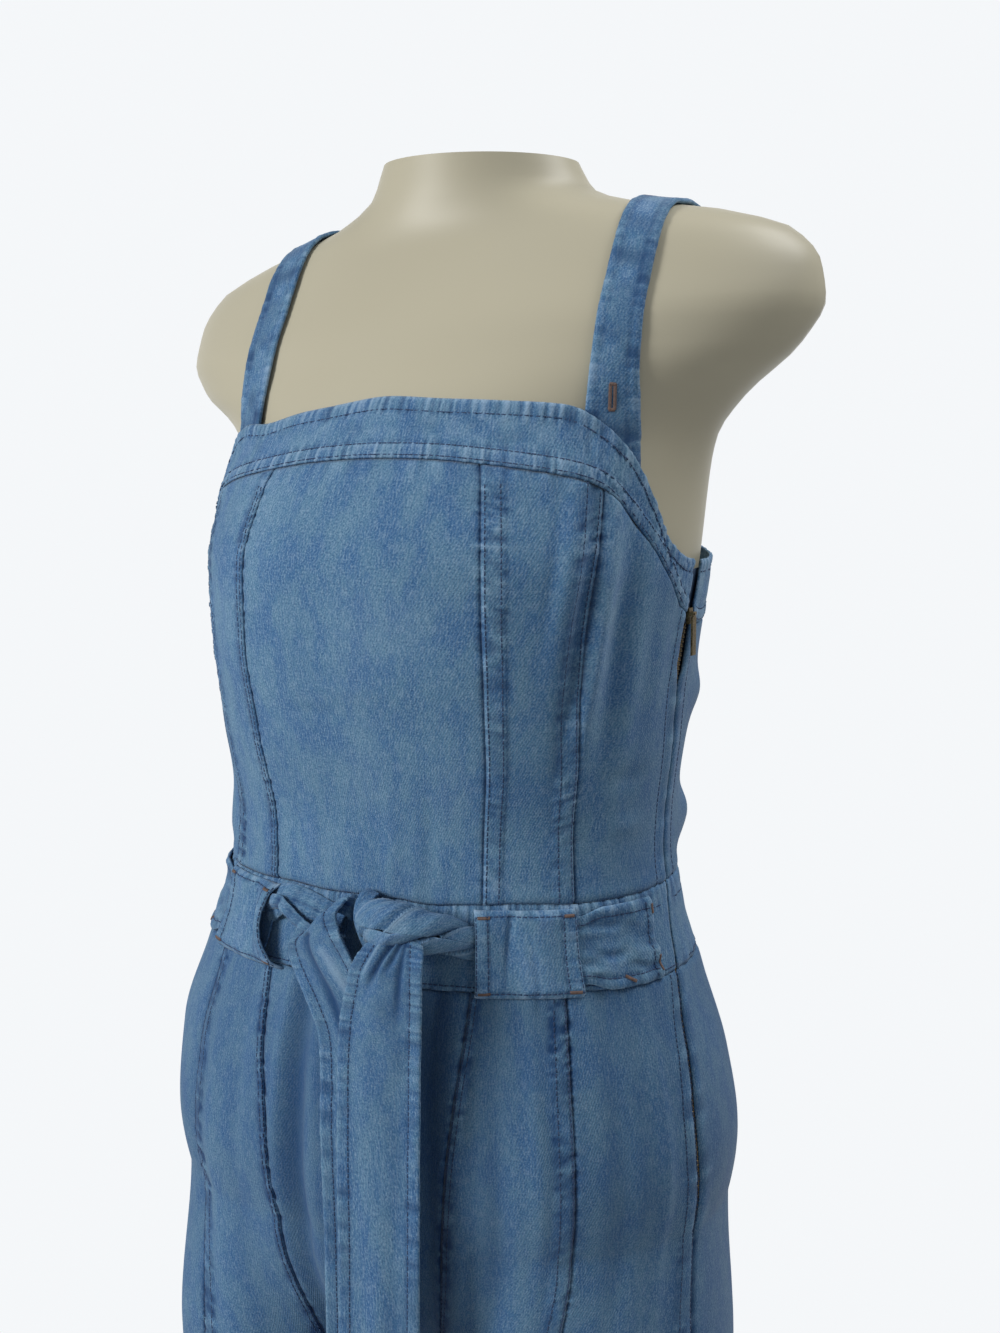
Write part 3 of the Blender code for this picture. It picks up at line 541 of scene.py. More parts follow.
def seam_relief(distance, along, width, seed, pucker=0.00052, pitch=0.0026, height=0.00060):
    """Felled seam: its fold lies at distance 0, its allowance over 0 to width."""
    ridge = height * ramp(distance, -0.0002, 0.0009) * (1 - ramp(distance, width - 0.0004, width + 0.0018))
    groove = -0.0008 * bump(distance, 0.0, 0.0008)
    beyond = np.maximum(np.abs(distance - width / 2) - width / 2, 0.0)
    reach = np.exp(-((beyond / 0.0035) ** 2))
    slant = along + 0.25 * distance
    wave = grain(slant / pitch, distance / (pitch * 4), seed)
    wave = wave + 0.6 * grain(slant / (pitch * 0.55), distance / pitch, seed + 1)
    wave = wave * (0.65 + 0.5 * grain(along / 0.020, 0.5, seed + 2))
    sewn = -0.00018 * (bump(distance, 0.0018, 0.0007) + bump(distance, width - 0.0012, 0.0007))
    edge = 0.35 * bump(distance, 0.0012, 0.0009) - 0.7 * bump(distance, -0.0004, 0.0007)
    edge = edge - 0.30 * bump(distance, width + 0.0008, 0.0010)
    return ridge + groove + pucker * wave * reach + sewn, reach * (0.95 * wave - 0.28) + edge


def bodice_relief(turn, level):
    """Seams and creases of the bodice, and its gathers at the waist seam and under the band."""
    turn, level = np.broadcast_arrays(wound(turn), level)
    felled, plain = bpy.context.scene.jumpsuit_sizes.felled_width, 0.0055
    around = np.radians(turn) * CHEST_RADIUS
    fold = folds(BODICE_CREASES, turn, level)
    total = 0.00042 * grain(around / 0.045, level / 0.060, 11) + fold
    # Random tone; painted shade in the hollows of the creases and painted highlight on their ridges; painted
    # shade down the sides
    wear_and_shade = 0.12 * grain(around / 0.030, level / 0.045, 12) + FOLD_SHADING * fold
    wear_and_shade = wear_and_shade - 0.40 * ramp(np.abs(turn), 58, 78)
    for column, side, width, seed in ((PRINCESS, 1, felled, 21), (PRINCESS, -1, plain, 22),
                                      (SIDE_FRONT, 1, felled, 23), (SIDE_FRONT, -1, felled, 24)):
        gap = np.radians(side * turn - curve(SEAMS, level, column)) * SEAM_RADIUS
        if column == SIDE_FRONT:
            gap = -gap
        height, paleness = seam_relief(gap, level, width, seed)
        near = np.abs(gap) < SEAM_REACH
        total = total + np.where(near, height, 0.0)
        wear_and_shade = wear_and_shade + np.where(near, paleness, 0.0)
    # Side seams: the right one is felled, the left one is folded back on both sides of the zip
    gap = -np.radians(np.abs(turn) - curve(SEAMS, level, SIDE_SEAM)) * SIDE_RADIUS
    right = turn < 0
    height, paleness = seam_relief(gap, level, felled, 25)
    total = total + np.where(right & (np.abs(gap) < SEAM_REACH), height, 0.0)
    wear_and_shade = wear_and_shade + np.where(right & (np.abs(gap) < SEAM_REACH), paleness, 0.0)
    height, paleness = placket_relief(gap, level)
    total = total + np.where(~right, height, 0.0)
    wear_and_shade = wear_and_shade + np.where(~right, paleness, 0.0)
    # Waist seam: the bodice's edge turns in above it
    above = level - waist_level(turn)
    total = total - 0.0010 * bump(above, 0.0, 0.0012) + 0.0004 * bump(above, 0.0045, 0.003)
    # Shallow gathers just above the waist seam and below the band
    wave = grain(around / 0.0050, level / 0.030, 31)
    total = total + 0.00022 * wave * np.exp(-((above / 0.012) ** 2))
    under = level - band_level(BAND_SEAM)(turn)
    wave = grain(around / 0.0046, level / 0.020, 32)
    low = np.exp(-((under / 0.009) ** 2)) * (under < 0)
    total = total + 0.00030 * wave * low - 0.0009 * bump(under, 0.0, 0.0010)
    return total, wear_and_shade + 0.35 * wave * low


def placket_relief(gap, level):
    """Folded edges on both sides of the zip, with a shallow groove 8 mm in."""
    inside = np.abs(gap) - np.radians(zip_gape(level)) * SIDE_RADIUS
    edge = 0.0009 * (1 - ramp(inside, 0.006, 0.0105))
    roll = -0.0010 * bump(inside, 0.0, 0.0008)
    wave = grain(level / 0.0055, gap / 0.02, 33)
    reach = np.exp(-((inside - 0.004) / 0.006) ** 2)
    sunk = 0.0003 * bump(inside, 0.0078, 0.0008)
    paleness = 0.6 * wave * reach + 0.2 * bump(inside, 0.0, 0.002)
    return edge + roll + 0.00035 * wave * reach - sunk, paleness


def band_relief(turn, level):
    """Band along the top edge: a puckered edge stitched 7 mm down and a felled seam below."""
    turn, level = np.broadcast_arrays(wound(turn), level)
    around = np.radians(turn) * SIDE_RADIUS
    # Distances are measured square to the band where it runs down to the side
    slope = np.cos(np.arctan(18.0 * 0.03 * ramp(np.abs(turn), 46, 60) * (1 - ramp(np.abs(turn), 74, 90))))
    over = (level - band_level(BAND_SEAM)(turn)) * slope
    below = (band_level(BAND_EDGE)(turn) - level) * slope
    lean = 0.25 * ramp(np.abs(turn), 46, 62) * (1 - ramp(np.abs(turn), 76, 90)) * np.sign(turn)
    shifted = around - lean * level
    edge_wave = grain(shifted / 0.0019, below / 0.030, 41) + 0.6 * grain(shifted / 0.0012, below / 0.02, 42)
    seam_wave = grain(shifted / 0.0018, over / 0.030, 43) + 0.6 * grain(shifted / 0.0011, over / 0.02, 44)
    edge_reach = (1 - ramp(below, 0.0075, 0.0125))
    seam_reach = (1 - ramp(over, 0.0080, 0.0150))
    total = 0.00055 * edge_wave * edge_reach + 0.00050 * seam_wave * seam_reach
    total = total - 0.0005 * bump(below, 0.0072, 0.0009) - 0.0010 * bump(below, 0.0, 0.0010)
    total = total + 0.0007 * ramp(over, 0.0, 0.0010) * (1 - ramp(over, 0.0082, 0.0095))
    total = total - 0.0003 * bump(over, 0.0022, 0.0007) - 0.0004 * bump(over, 0.0082, 0.0008)
    total = total - 0.0008 * bump(over, 0.0, 0.0007)
    middle = 0.00035 * grain(shifted / 0.010, level / 0.008, 45)
    middle = middle + 0.0005 * grain(shifted / 0.022, level / 0.018, 46)
    total = total + middle * (1 - edge_reach) * (1 - seam_reach)
    wear_and_shade = 0.70 * edge_wave * edge_reach + 0.62 * seam_wave * seam_reach + 0.25 * bump(below, 0.0, 0.0015)
    wear_and_shade = wear_and_shade + 0.30 * grain((shifted + 0.4 * level) / 0.012, level / 0.008, 47) * (1 - seam_reach)
    wear_and_shade = wear_and_shade + 0.30 * bump(over, 0.0072, 0.0012) - 0.45 * bump(over, 0.0094, 0.0008)
    wear_and_shade = wear_and_shade - 0.35 * bump(below, 0.0078, 0.0008)
    wear_and_shade = wear_and_shade - 0.6 * bump(over, 0.0, 0.0007) + 0.25 * bump(over, 0.0010, 0.0006)
    return total, wear_and_shade


def waistband_relief(turn, level):
    """Waistband: puckered along its upper seam, softer along its lower one."""
    turn, level = np.broadcast_arrays(wound(turn), level)
    around = np.radians(turn) * WAIST_RADIUS
    below = waist_level(turn) - level
    over = level - WAISTBAND_FOOT
    wave = grain(around / 0.0021, below / 0.04, 51) + 0.6 * grain(around / 0.0012, below / 0.02, 52)
    top = 1 - ramp(below, 0.010, 0.020)
    foot = 1 - ramp(over, 0.005, 0.012)
    total = 0.00050 * wave * top - 0.0011 * bump(below, 0.0, 0.0012) - 0.0004 * bump(below, 0.0105, 0.0009)
    total = total + 0.0005 * grain(around / 0.0038, over / 0.02, 53) * foot - 0.0009 * bump(over, 0.0, 0.001)
    total = total + 0.0007 * grain(around / 0.030, level / 0.012, 54)
    wear_and_shade = 0.70 * wave * top + 0.45 * grain(around / 0.0030, over / 0.02, 53) * foot - 0.16
    # Painted shade down the sides
    return total, wear_and_shade - 0.12 * ramp(np.abs(turn), 60, 80)


def leg_relief(side, share, level):
    """Seams, soft folds and hem of a trouser leg."""
    share, level = np.broadcast_arrays(share, level)
    felled, plain = bpy.context.scene.jumpsuit_sizes.felled_width, 0.0060
    around = share * LEG_GIRTH
    total = 0.0007 * grain(around / 0.035 + side * 9.0, level / 0.090, 61)
    # Painted shade: the trousers are darker all over than the bodice, darker still at the sides, and near the
    # front middle as a painted shadow under the knot and tails
    wear_and_shade = 0.14 * grain(around / 0.022 + side * 5.0, level / 0.060, 62) - 0.32
    wear_and_shade = wear_and_shade - 0.20 * ramp(share, 0.38, 0.46) - 0.22 * (1 - ramp(share, 0.10, 0.20))
    for way, at, spread, middle, reach, height in LEG_CREASES:
        if way == side:
            fold = height * bump(share, at, spread) * bump(level, middle, reach)
            total = total + fold
            # Painted shade in the hollows of the creases, painted highlight on their ridges
            wear_and_shade = wear_and_shade + FOLD_SHADING * np.minimum(fold, 0.0) + LEG_RIDGE_HIGHLIGHT * np.maximum(fold, 0.0)
    for column, width, seed in ((PRINCESS, plain, 63), (SIDE_FRONT, felled, 64)):
        gap = (share - curve(SEAMS, level, column) / 180.0) * LEG_GIRTH
        if column == SIDE_FRONT:
            gap = -gap
        height, paleness = seam_relief(gap, level, width, seed + side, pitch=0.0030)
        near = np.abs(gap) < SEAM_REACH
        total = total + np.where(near, height, 0.0)
        wear_and_shade = wear_and_shade + np.where(near, paleness, 0.0)
    # The left side seam is closed only below the zip
    gap = -(share - curve(SEAMS, level, SIDE_SEAM) / 180.0) * LEG_GIRTH
    height, paleness = seam_relief(gap, level, felled, 66)
    closed = 1 - ramp(level, ZIP_FOOT - 0.03, ZIP_FOOT) if side > 0 else np.ones_like(level)
    near = np.abs(gap) < SEAM_REACH
    total = total + np.where(near, height * closed, 0.0)
    wear_and_shade = wear_and_shade + np.where(near, paleness * closed, 0.0)
    if side > 0:
        height, paleness = placket_relief(gap, level)
        near = np.abs(gap) < 0.05
        total = total + np.where(near, height * (1 - closed), 0.0)
        wear_and_shade = wear_and_shade + np.where(near, paleness * (1 - closed), 0.0)
    for middle in (share, 1 - share):
        height, paleness = seam_relief(middle * LEG_GIRTH, level, felled, 67)
        total = total + np.where(middle < 0.05, height, 0.0)
        wear_and_shade = wear_and_shade + np.where(middle < 0.05, paleness, 0.0)
    below = WAISTBAND_FOOT - level
    wave = grain(around / 0.0040, below / 0.03, 68)
    low = np.exp(-((below / 0.010) ** 2))
    total = total + 0.00035 * wave * low - 0.0009 * bump(below, 0.0, 0.0010)
    hem = level - HEM
    wave = grain(around / 0.005, hem / 0.03, 69)
    total = total + 0.0006 * (1 - ramp(hem, 0.022, 0.0245)) + 0.0003 * wave * (1 - ramp(hem, 0.024, 0.030))
    return total, wear_and_shade + 0.4 * wave * (1 - ramp(hem, 0.024, 0.030))


def bodice_surface(turn, level):
    height, wear_and_shade = bodice_relief(turn, level)
    return cloth(turn, level, WALL + height), wear_and_shade


def band_surface(turn, level):
    height, wear_and_shade = band_relief(turn, level)
    return cloth(turn, level, WALL + height), wear_and_shade


def waistband_surface(turn, level):
    height, wear_and_shade = waistband_relief(turn, level)
    return cloth(turn, level, WALL + height), wear_and_shade


def leg_surface(side):
    """Outer face of a leg, kept on its own side of the middle."""
    def at(share, level):
        height, wear_and_shade = leg_relief(side, share, level)
        points = leg(side, share, level, WALL + height)
        middle = curve(BODY, np.maximum(level, RISE_START), 1)
        steep = 1 - ramp(level, CROTCH, RISE_START)
        clear = 0.0002 - 0.0006 * steep
        points[..., 0] = middle + side * np.maximum(side * (points[..., 0] - middle), clear)
        return points, wear_and_shade
    return at


# Ribbons

def spline(rows, at):
    """Smooth run through the rows of a table, which lie evenly from 0 to 1."""
    rows = np.asarray(rows, float)
    last = len(rows) - 1
    where = np.clip(at, 0.0, 1.0) * last
    k = np.clip(np.floor(where).astype(int), 0, last - 1)
    t = (where - k)[..., None]
    before, here, after, beyond = (rows[np.clip(k + step, 0, last)] for step in (-1, 0, 1, 2))
    return 0.5 * (2 * here + (after - before) * t + (2 * before - 5 * here + 4 * after - beyond) * t ** 2
                  + (3 * here - before - 3 * after + beyond) * t ** 3)


def run_length(rows):
    """Length along the middle of a ribbon or rope."""
    points = spline(rows, np.linspace(0, 1, 200))[:, :3]
    return float(np.linalg.norm(np.diff(points, axis=0), axis=1).sum())


def hem_relief(edge, run, seed, hem=0.008, pucker=0.0005):
    """Hem of a ribbon: edge is the distance from its rim, run the length along it."""
    wave = grain(run / 0.0030, edge / 0.030, seed) + 0.5 * grain(run / 0.0016, edge / 0.02, seed + 1)
    wave = wave * (0.7 + 0.5 * grain(run / 0.018, 0.5, seed + 2))
    reach = 1 - ramp(edge, hem - 0.0005, hem + 0.003)
    total = 0.0004 * (1 - ramp(edge, hem - 0.0008, hem + 0.0006)) - 0.0005 * bump(edge, hem - 0.0006, 0.0009)
    total = total + pucker * wave * reach - 0.0011 * bump(edge, 0.0, 0.0012)
    paleness = 0.58 * wave * reach + 0.30 * bump(edge, 0.0, 0.0014) - 0.40 * bump(edge, hem + 0.0002, 0.0009)
    return total, paleness


def ribbon_surface(rows, face, waves, seed, creases=(), hems=(True, True), end_hem=False):
    """Surface of a ribbon along its rows. It faces face times the cross product of its width and run.

    A crease runs across from first to last while it goes along from begin to end.
    """
    length = run_length(rows)

    def at(across, along):
        across, along = np.broadcast_arrays(across, along)
        a = 2 * across - 1
        x, y, z, half, lean, push, arch, fold = np.moveaxis(spline(rows, along), -1, 0)
        ahead = spline(rows, along + 0.004)[..., :3] - spline(rows, along - 0.004)[..., :3]
        lean = np.radians(lean)
        width = np.stack([np.cos(lean), -push, np.sin(lean)], axis=-1)
        width /= np.linalg.norm(width, axis=-1, keepdims=True)
        out = face * np.cross(width, ahead)
        out /= np.linalg.norm(out, axis=-1, keepdims=True)
        run = along * length
        lift = arch * (1 - a * a) + fold * np.cos(np.pi * waves * a + 0.8 * grain(run / 0.09, 0.5, seed + 7))
        lift = lift + 0.0007 * grain(a * half / 0.010, run / 0.030, seed)
        # Random tone, and painted shade that darkens the whole sash
        wear_and_shade = 0.15 * grain(a * half / 0.012, run / 0.022, seed + 1) - 0.30
        for first, last, begin, end, spread, height in creases:
            step = np.clip((along - begin) / (end - begin), 0, 1)
            fade = ramp(along, begin - 0.02, begin + 0.01) * (1 - ramp(along, end - 0.5 * (end - begin), end))
            line = bump(a, first + (last - first) * step, spread) * fade
            lift = lift + height * line
            # Painted shade in the hollow of each crease and painted highlight on its ridge
            wear_and_shade = wear_and_shade + 0.9 * np.sign(height) * line
        for wanted, edge in zip(hems, ((1 + a) * half, (1 - a) * half)):
            if wanted:
                height, paleness = hem_relief(edge, run, seed + 2)
                lift, wear_and_shade = lift + height, wear_and_shade + paleness
        if end_hem:
            height, paleness = hem_relief(length - run, a * half, seed + 4)
            lift, wear_and_shade = lift + height, wear_and_shade + paleness
        middle = np.stack([x, y, z], axis=-1)
        points = middle + width * (a * half)[..., None] + out * lift[..., None]
        return points, wear_and_shade, np.stack([a * half, run], axis=-1)
    return at


def twist_surface(rows, turns, strands, seed):
    """Rope of twisted folds along its rows. Each fold overlaps the next in a sharp step."""
    length = run_length(rows)

    def at(across, along):
        across, along = np.broadcast_arrays(across, along)
        angle = 2 * np.pi * across
        x, y, z, tall, deep = np.moveaxis(spline(rows, along), -1, 0)
        ahead = spline(rows, along + 0.004)[..., :3] - spline(rows, along - 0.004)[..., :3]
        ahead /= np.linalg.norm(ahead, axis=-1, keepdims=True)
        up = np.array([0.0, 0.0, 1.0]) - ahead * ahead[..., 2:3]
        up /= np.linalg.norm(up, axis=-1, keepdims=True)
        out = np.cross(ahead, up)
        out *= np.where(out[..., 1:2] > 0, -1.0, 1.0)
        sway = 0.26 * grain(across * 3, along * 4, seed)
        phase = (strands * (across - turns * along) + sway + 8.0) % 1.0
        index = np.floor(strands * (across - turns * along) + sway + 8.0)
        depth = 0.34 + 0.14 * np.sin(index * 2.4)
        step = depth * (np.exp(-phase / 0.16) - np.exp(-(1 - phase) / 0.045) * 0.25)
        body_fold = 0.10 * np.cos(2 * np.pi * phase)
        body_fold = body_fold + 0.12 * grain(phase * 4, along * 6 + index * 3, seed + 1)
        size = 1.05 - step - body_fold * 0.6 + 0.06 * grain(phase * 8, along * 9 + index * 5, seed + 2)
        # Painted shade in the recess where each fold tucks under the next
        wear_and_shade = 0.55 * bump(phase, 0.93, 0.06) - 0.9 * np.exp(-phase / 0.07)
        wear_and_shade = wear_and_shade + 0.25 * grain(phase * 3, along * 14, seed + 3)
        middle = np.stack([x, y, z], axis=-1)
        rise, reach = tall * size * np.sin(angle), deep * size * np.cos(angle)
        points = middle + up * rise[..., None] + out * reach[..., None]
        # Flat width of the sash round the rope, and the extra length that its twist takes up
        flat_width, twist_spare = 0.070, 1.4
        return points, wear_and_shade, np.stack([(across - turns * along) * flat_width,
                                       along * length * twist_spare], axis=-1)
    return at


# Meshes

def deselect():
    bpy.ops.object.select_all(action="DESELECT")


def sheet_grid(name, place, columns, rows, material, thickness, inside=(0.0, 0.0)):
    """Cloth on place(across, along): points, flat position in metres, and wear together with painted shade
    and painted highlight. Its wall grows inwards.

    Its faces turn away from the upright line at inside.
    """
    deselect()
    bpy.ops.mesh.primitive_grid_add(x_subdivisions=columns, y_subdivisions=rows, size=2.0)
    obj = bpy.context.object
    obj.name = obj.data.name = name
    mesh = obj.data
    flat = np.empty(len(mesh.vertices) * 3)
    mesh.vertices.foreach_get("co", flat)
    flat = (flat.reshape(-1, 3) + 1) / 2
    points, spread, wear_and_shade = place(flat[:, 0], flat[:, 1])
    mesh.vertices.foreach_set("co", np.asarray(points, float).ravel())
    corner = np.empty(len(mesh.loops), dtype=np.int32)
    mesh.loops.foreach_get("vertex_index", corner)
    uv = mesh.uv_layers[0] if mesh.uv_layers else mesh.uv_layers.new(name="cloth")
    uv.name = "cloth"
    uv.data.foreach_set("uv", spread[corner].astype(np.float32).ravel())
    paleness = mesh.attributes.new("wear_and_shade", "FLOAT", "POINT")
    paleness.data.foreach_set("value", np.asarray(wear_and_shade, np.float32))
    mesh.update()
    mesh.materials.append(material)
    mesh.shade_smooth()
    outward(mesh, inside)
    add_wall(obj, thickness)
    return obj


def outward(mesh, inside):
    """Turns the faces over where most of them point at the upright line at inside."""
    middle = np.empty(len(mesh.polygons) * 3)
    mesh.polygons.foreach_get("center", middle)
    normal = np.empty(len(mesh.polygons) * 3)
    mesh.polygons.foreach_get("normal", normal)
    middle, normal = middle.reshape(-1, 3), normal.reshape(-1, 3)
    away = (middle[:, 0] - inside[0]) * normal[:, 0] + (middle[:, 1] - inside[1]) * normal[:, 1]
    if away.sum() < 0:
        mesh.flip_normals()


def add_wall(obj, thickness):
    """Gives a sheet its thickness, inwards."""
    solid = obj.modifiers.new("wall", "SOLIDIFY")
    solid.thickness = thickness
    solid.offset = -1.0
    solid.use_quality_normals = False
    bpy.context.view_layer.objects.active = obj
    bpy.ops.object.modifier_apply(modifier=solid.name)


def dress(obj, nodes, size):
    """Puts a sheet in the place of its solids. The flat cut it is given, size, is not used."""
    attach(obj, "jumpsuit")
    if nodes:
        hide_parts(*nodes)


def grid_size(place):
    """Flat size of a sheet: its widest and longest run over the finished surface, and some spare."""
    across, along = np.meshgrid(np.linspace(0, 1, 60), np.linspace(0, 1, 60))
    points = place(across.ravel(), along.ravel())[0].reshape(60, 60, 3)
    width = np.linalg.norm(np.diff(points, axis=1), axis=2).sum(axis=1).max()
    length = np.linalg.norm(np.diff(points, axis=0), axis=2).sum(axis=0).max()
    return float(width) * SPARE_CLOTH, float(length) * SPARE_CLOTH


def panel(name, low_turn, high_turn, low_level, high_level, columns, rows, surface):
    """Cloth between two seams given as turns and two edges given as levels."""
    material = bpy.data.materials["stonewashed denim twill"]

    def place(across, along):
        level = (low_level(0.0) + high_level(0.0)) / 2 + 0.0 * across
        # The seams lean and the edges curve, so turn and level are found by turns
        for _ in range(6):
            turn = low_turn(level) + across * (high_turn(level) - low_turn(level))
            foot, top = low_level(turn), high_level(turn)
            level = foot + along * (top - foot)
        points, wear_and_shade = surface(turn, level)
        flat = np.stack([np.radians(turn) * WAIST_RADIUS, level], axis=-1)
        return points, flat, wear_and_shade

    thickness = bpy.context.scene.jumpsuit_sizes.cloth_thickness
    obj = sheet_grid(name + "_cloth", place, columns, rows, material, thickness)
    dress(obj, [name], grid_size(place))
    return obj


def leg_panel(name, side, low, high, columns, rows):
    """Cloth of a leg from hem to waistband, between two seams given as shares round the leg."""
    material = bpy.data.materials["stonewashed denim twill"]
    surface = leg_surface(side)

    def place(across, along):
        level = leg_level(along)
        share = low(level) + across * (high(level) - low(level))
        points, wear_and_shade = surface(share, level)
        return points, np.stack([share * LEG_GIRTH * side, level], axis=-1), wear_and_shade

    thickness = bpy.context.scene.jumpsuit_sizes.cloth_thickness
    obj = sheet_grid(name + "_cloth", place, columns, rows, material, thickness, (side * 0.10, 0.0))
    dress(obj, [name], grid_size(place))


def leg_level(along):
    """Rows close together where the photograph looks, and further apart towards the hem."""
    fine_foot, fine_share = 0.700, 0.35
    low = HEM + along / fine_share * (fine_foot - HEM)
    high = fine_foot + (along - fine_share) / (1 - fine_share) * (WAISTBAND_FOOT - fine_foot)
    return np.where(along < fine_share, low, high)


def free_cloth(name, nodes, surface, columns, rows, thickness=None, size=None):
    """Cloth on a surface that gives points, wear with painted shade and painted highlight, and flat position
    from 0 to 1 both ways.
    """
    material = bpy.data.materials["stonewashed denim twill"]

    def place(across, along):
        points, wear_and_shade, flat = surface(across, along)
        return points, flat, wear_and_shade

    thickness = thickness or bpy.context.scene.jumpsuit_sizes.cloth_thickness
    obj = sheet_grid(name, place, columns, rows, material, thickness)
    dress(obj, nodes, size or grid_size(place))
    return obj


# Materials

def add_node(tree, kind, settings=None, **links):
    """Adds a node with its settings, and links or sets its inputs, named with _ for a space or as i0, i1."""
    made = tree.nodes.new(kind)
    for key, value in (settings or {}).items():
        setattr(made, key, value)
    for key, value in links.items():
        numbered = key[0] == "i" and key[1:].isdigit()
        socket = made.inputs[int(key[1:]) if numbered else key.replace("_", " ")]
        if isinstance(value, bpy.types.NodeSocket):
            tree.links.new(value, socket)
        else:
            socket.default_value = value
    return made


def new_material(name):
    """An empty material: its node tree and its shader, already joined to the output."""
    material = bpy.data.materials.new(name)
    material.use_nodes = True
    tree = material.node_tree
    tree.nodes.clear()
    shader = add_node(tree, "ShaderNodeBsdfPrincipled")
    output = add_node(tree, "ShaderNodeOutputMaterial")
    tree.links.new(shader.outputs[0], output.inputs[0])
    return tree, shader


def rgba(colour):
    return (*colour, 1.0)


def mix(tree, factor, first, second):
    """Colour between two others. The numbers are the mix node's own sockets for colours."""
    made = add_node(tree, "ShaderNodeMix", {"data_type": "RGBA", "clamp_factor": True})
    for index, value in ((0, factor), (6, first), (7, second)):
        if isinstance(value, bpy.types.NodeSocket):
            tree.links.new(value, made.inputs[index])
        else:
            made.inputs[index].default_value = value
    return made.outputs[2]


def denim_material():
    """Cotton denim: a right-hand twill of indigo warp over white weft, stonewashed.

    The eye sees fine diagonal ribs, pale slubs along the warp, cloudy fading and rubbed, paler seams and
    edges. The paler ridges and darker hollows of folds, and the darker sides, trousers and sash, are painted
    highlight and painted shade.
    """
    sizes, colours = bpy.context.scene.jumpsuit_sizes, bpy.context.scene.jumpsuit_colours
    tree, shader = new_material("stonewashed denim twill")
    where = add_node(tree, "ShaderNodeUVMap", {"uv_map": "cloth"}).outputs[0]
    # The real wale is 0.9 mm; it is drawn coarser so that it shows
    turned = add_node(tree, "ShaderNodeMapping", Vector=where, Rotation=(0.0, 0.0, math.radians(28.0)))
    wale = add_node(tree, "ShaderNodeTexWave", {"wave_type": "BANDS", "bands_direction": "X"},
                    Vector=turned.outputs[0], Scale=0.314 / sizes.wale_pitch, Distortion=1.2, Detail=2.0,
                    Detail_Scale=2.5)
    # Slubs: warp threads 1 mm apart whose colour drifts over 6 mm
    slub_place = add_node(tree, "ShaderNodeMapping", Vector=where, Scale=(1 / 0.0010, 1 / 0.006, 1.0))
    slub = add_node(tree, "ShaderNodeTexNoise", Vector=slub_place.outputs[0], Scale=1.0, Detail=2.0,
                    Roughness=0.6)
    speck = add_node(tree, "ShaderNodeTexNoise", Vector=where, Scale=1 / 0.0011, Detail=2.0, Roughness=0.75)
    # Cloudy fading over 10 to 40 mm, stretched along the warp
    cloud_place = add_node(tree, "ShaderNodeMapping", Vector=where, Scale=(1 / 0.014, 1 / 0.030, 1.0))
    cloud = add_node(tree, "ShaderNodeTexNoise", Vector=cloud_place.outputs[0], Scale=1.0, Detail=5.0,
                     Roughness=0.60)
    paleness = add_node(tree, "ShaderNodeAttribute", {"attribute_name": "wear_and_shade"})
    # Wear and the painted highlight on fold ridges break up into the cloth's own grain
    broken = add_node(tree, "ShaderNodeMath", {"operation": "MULTIPLY_ADD"},
                      i0=speck.outputs[0], i1=0.8, i2=0.35)
    rubbed = add_node(tree, "ShaderNodeMath", {"operation": "MULTIPLY", "use_clamp": True},
                      i0=paleness.outputs["Fac"], i1=broken.outputs[0])
    # Below 0 the same value darkens the cloth: unworn dye along the seams, and painted shade in fold hollows,
    # on the sides, over the trousers and over the sash
    hollow = add_node(tree, "ShaderNodeMath", {"operation": "MULTIPLY", "use_clamp": True},
                      i0=paleness.outputs["Fac"], i1=-0.75)
    base = rgba(colours.denim)
    # Faded clouds, deep clouds, pale slubs, pale specks, dark specks and the grooves between the ribs:
    # what they come from, its range, their share at both ends of it, and their colour
    for source, low, high, start, finish, colour in (
            (cloud.outputs[0], 0.46, 0.66, 0.0, 0.62, colours.denim_faded),
            (cloud.outputs[0], 0.52, 0.36, 0.0, 0.66, colours.denim_deep),
            (slub.outputs[0], 0.46, 0.68, 0.0, 0.42, colours.denim_worn_and_highlit),
            (speck.outputs[0], 0.52, 0.70, 0.0, 0.60, colours.denim_worn_and_highlit),
            (speck.outputs[0], 0.48, 0.32, 0.0, 0.62, colours.denim_dark),
            (wale.outputs[1], 0.0, 1.0, 0.14, 0.0, colours.denim_dark)):
        share = add_node(tree, "ShaderNodeMapRange", Value=source, From_Min=low, From_Max=high,
                         To_Min=start, To_Max=finish)
        base = mix(tree, share.outputs[0], base, rgba(colour))
    base = mix(tree, rubbed.outputs[0], base, rgba(colours.denim_worn_and_highlit))
    base = mix(tree, hollow.outputs[0], base, rgba(colours.denim_dark))
    tree.links.new(base, shader.inputs["Base Color"])
    height = add_node(tree, "ShaderNodeMath", {"operation": "ADD"}, i0=wale.outputs[1], i1=slub.outputs[0])
    height = add_node(tree, "ShaderNodeMath", {"operation": "MULTIPLY_ADD"}, i0=speck.outputs[0], i1=0.8,
                      i2=height.outputs[0])
    relief = add_node(tree, "ShaderNodeBump", Strength=0.5, Distance=0.00018, Height=height.outputs[0])
    tree.links.new(relief.outputs[0], shader.inputs["Normal"])
    shader.inputs["Roughness"].default_value = 0.88
    shader.inputs["Specular IOR Level"].default_value = 0.25
    shader.inputs["Sheen Weight"].default_value = 0.12
    shader.inputs["Sheen Roughness"].default_value = 0.5


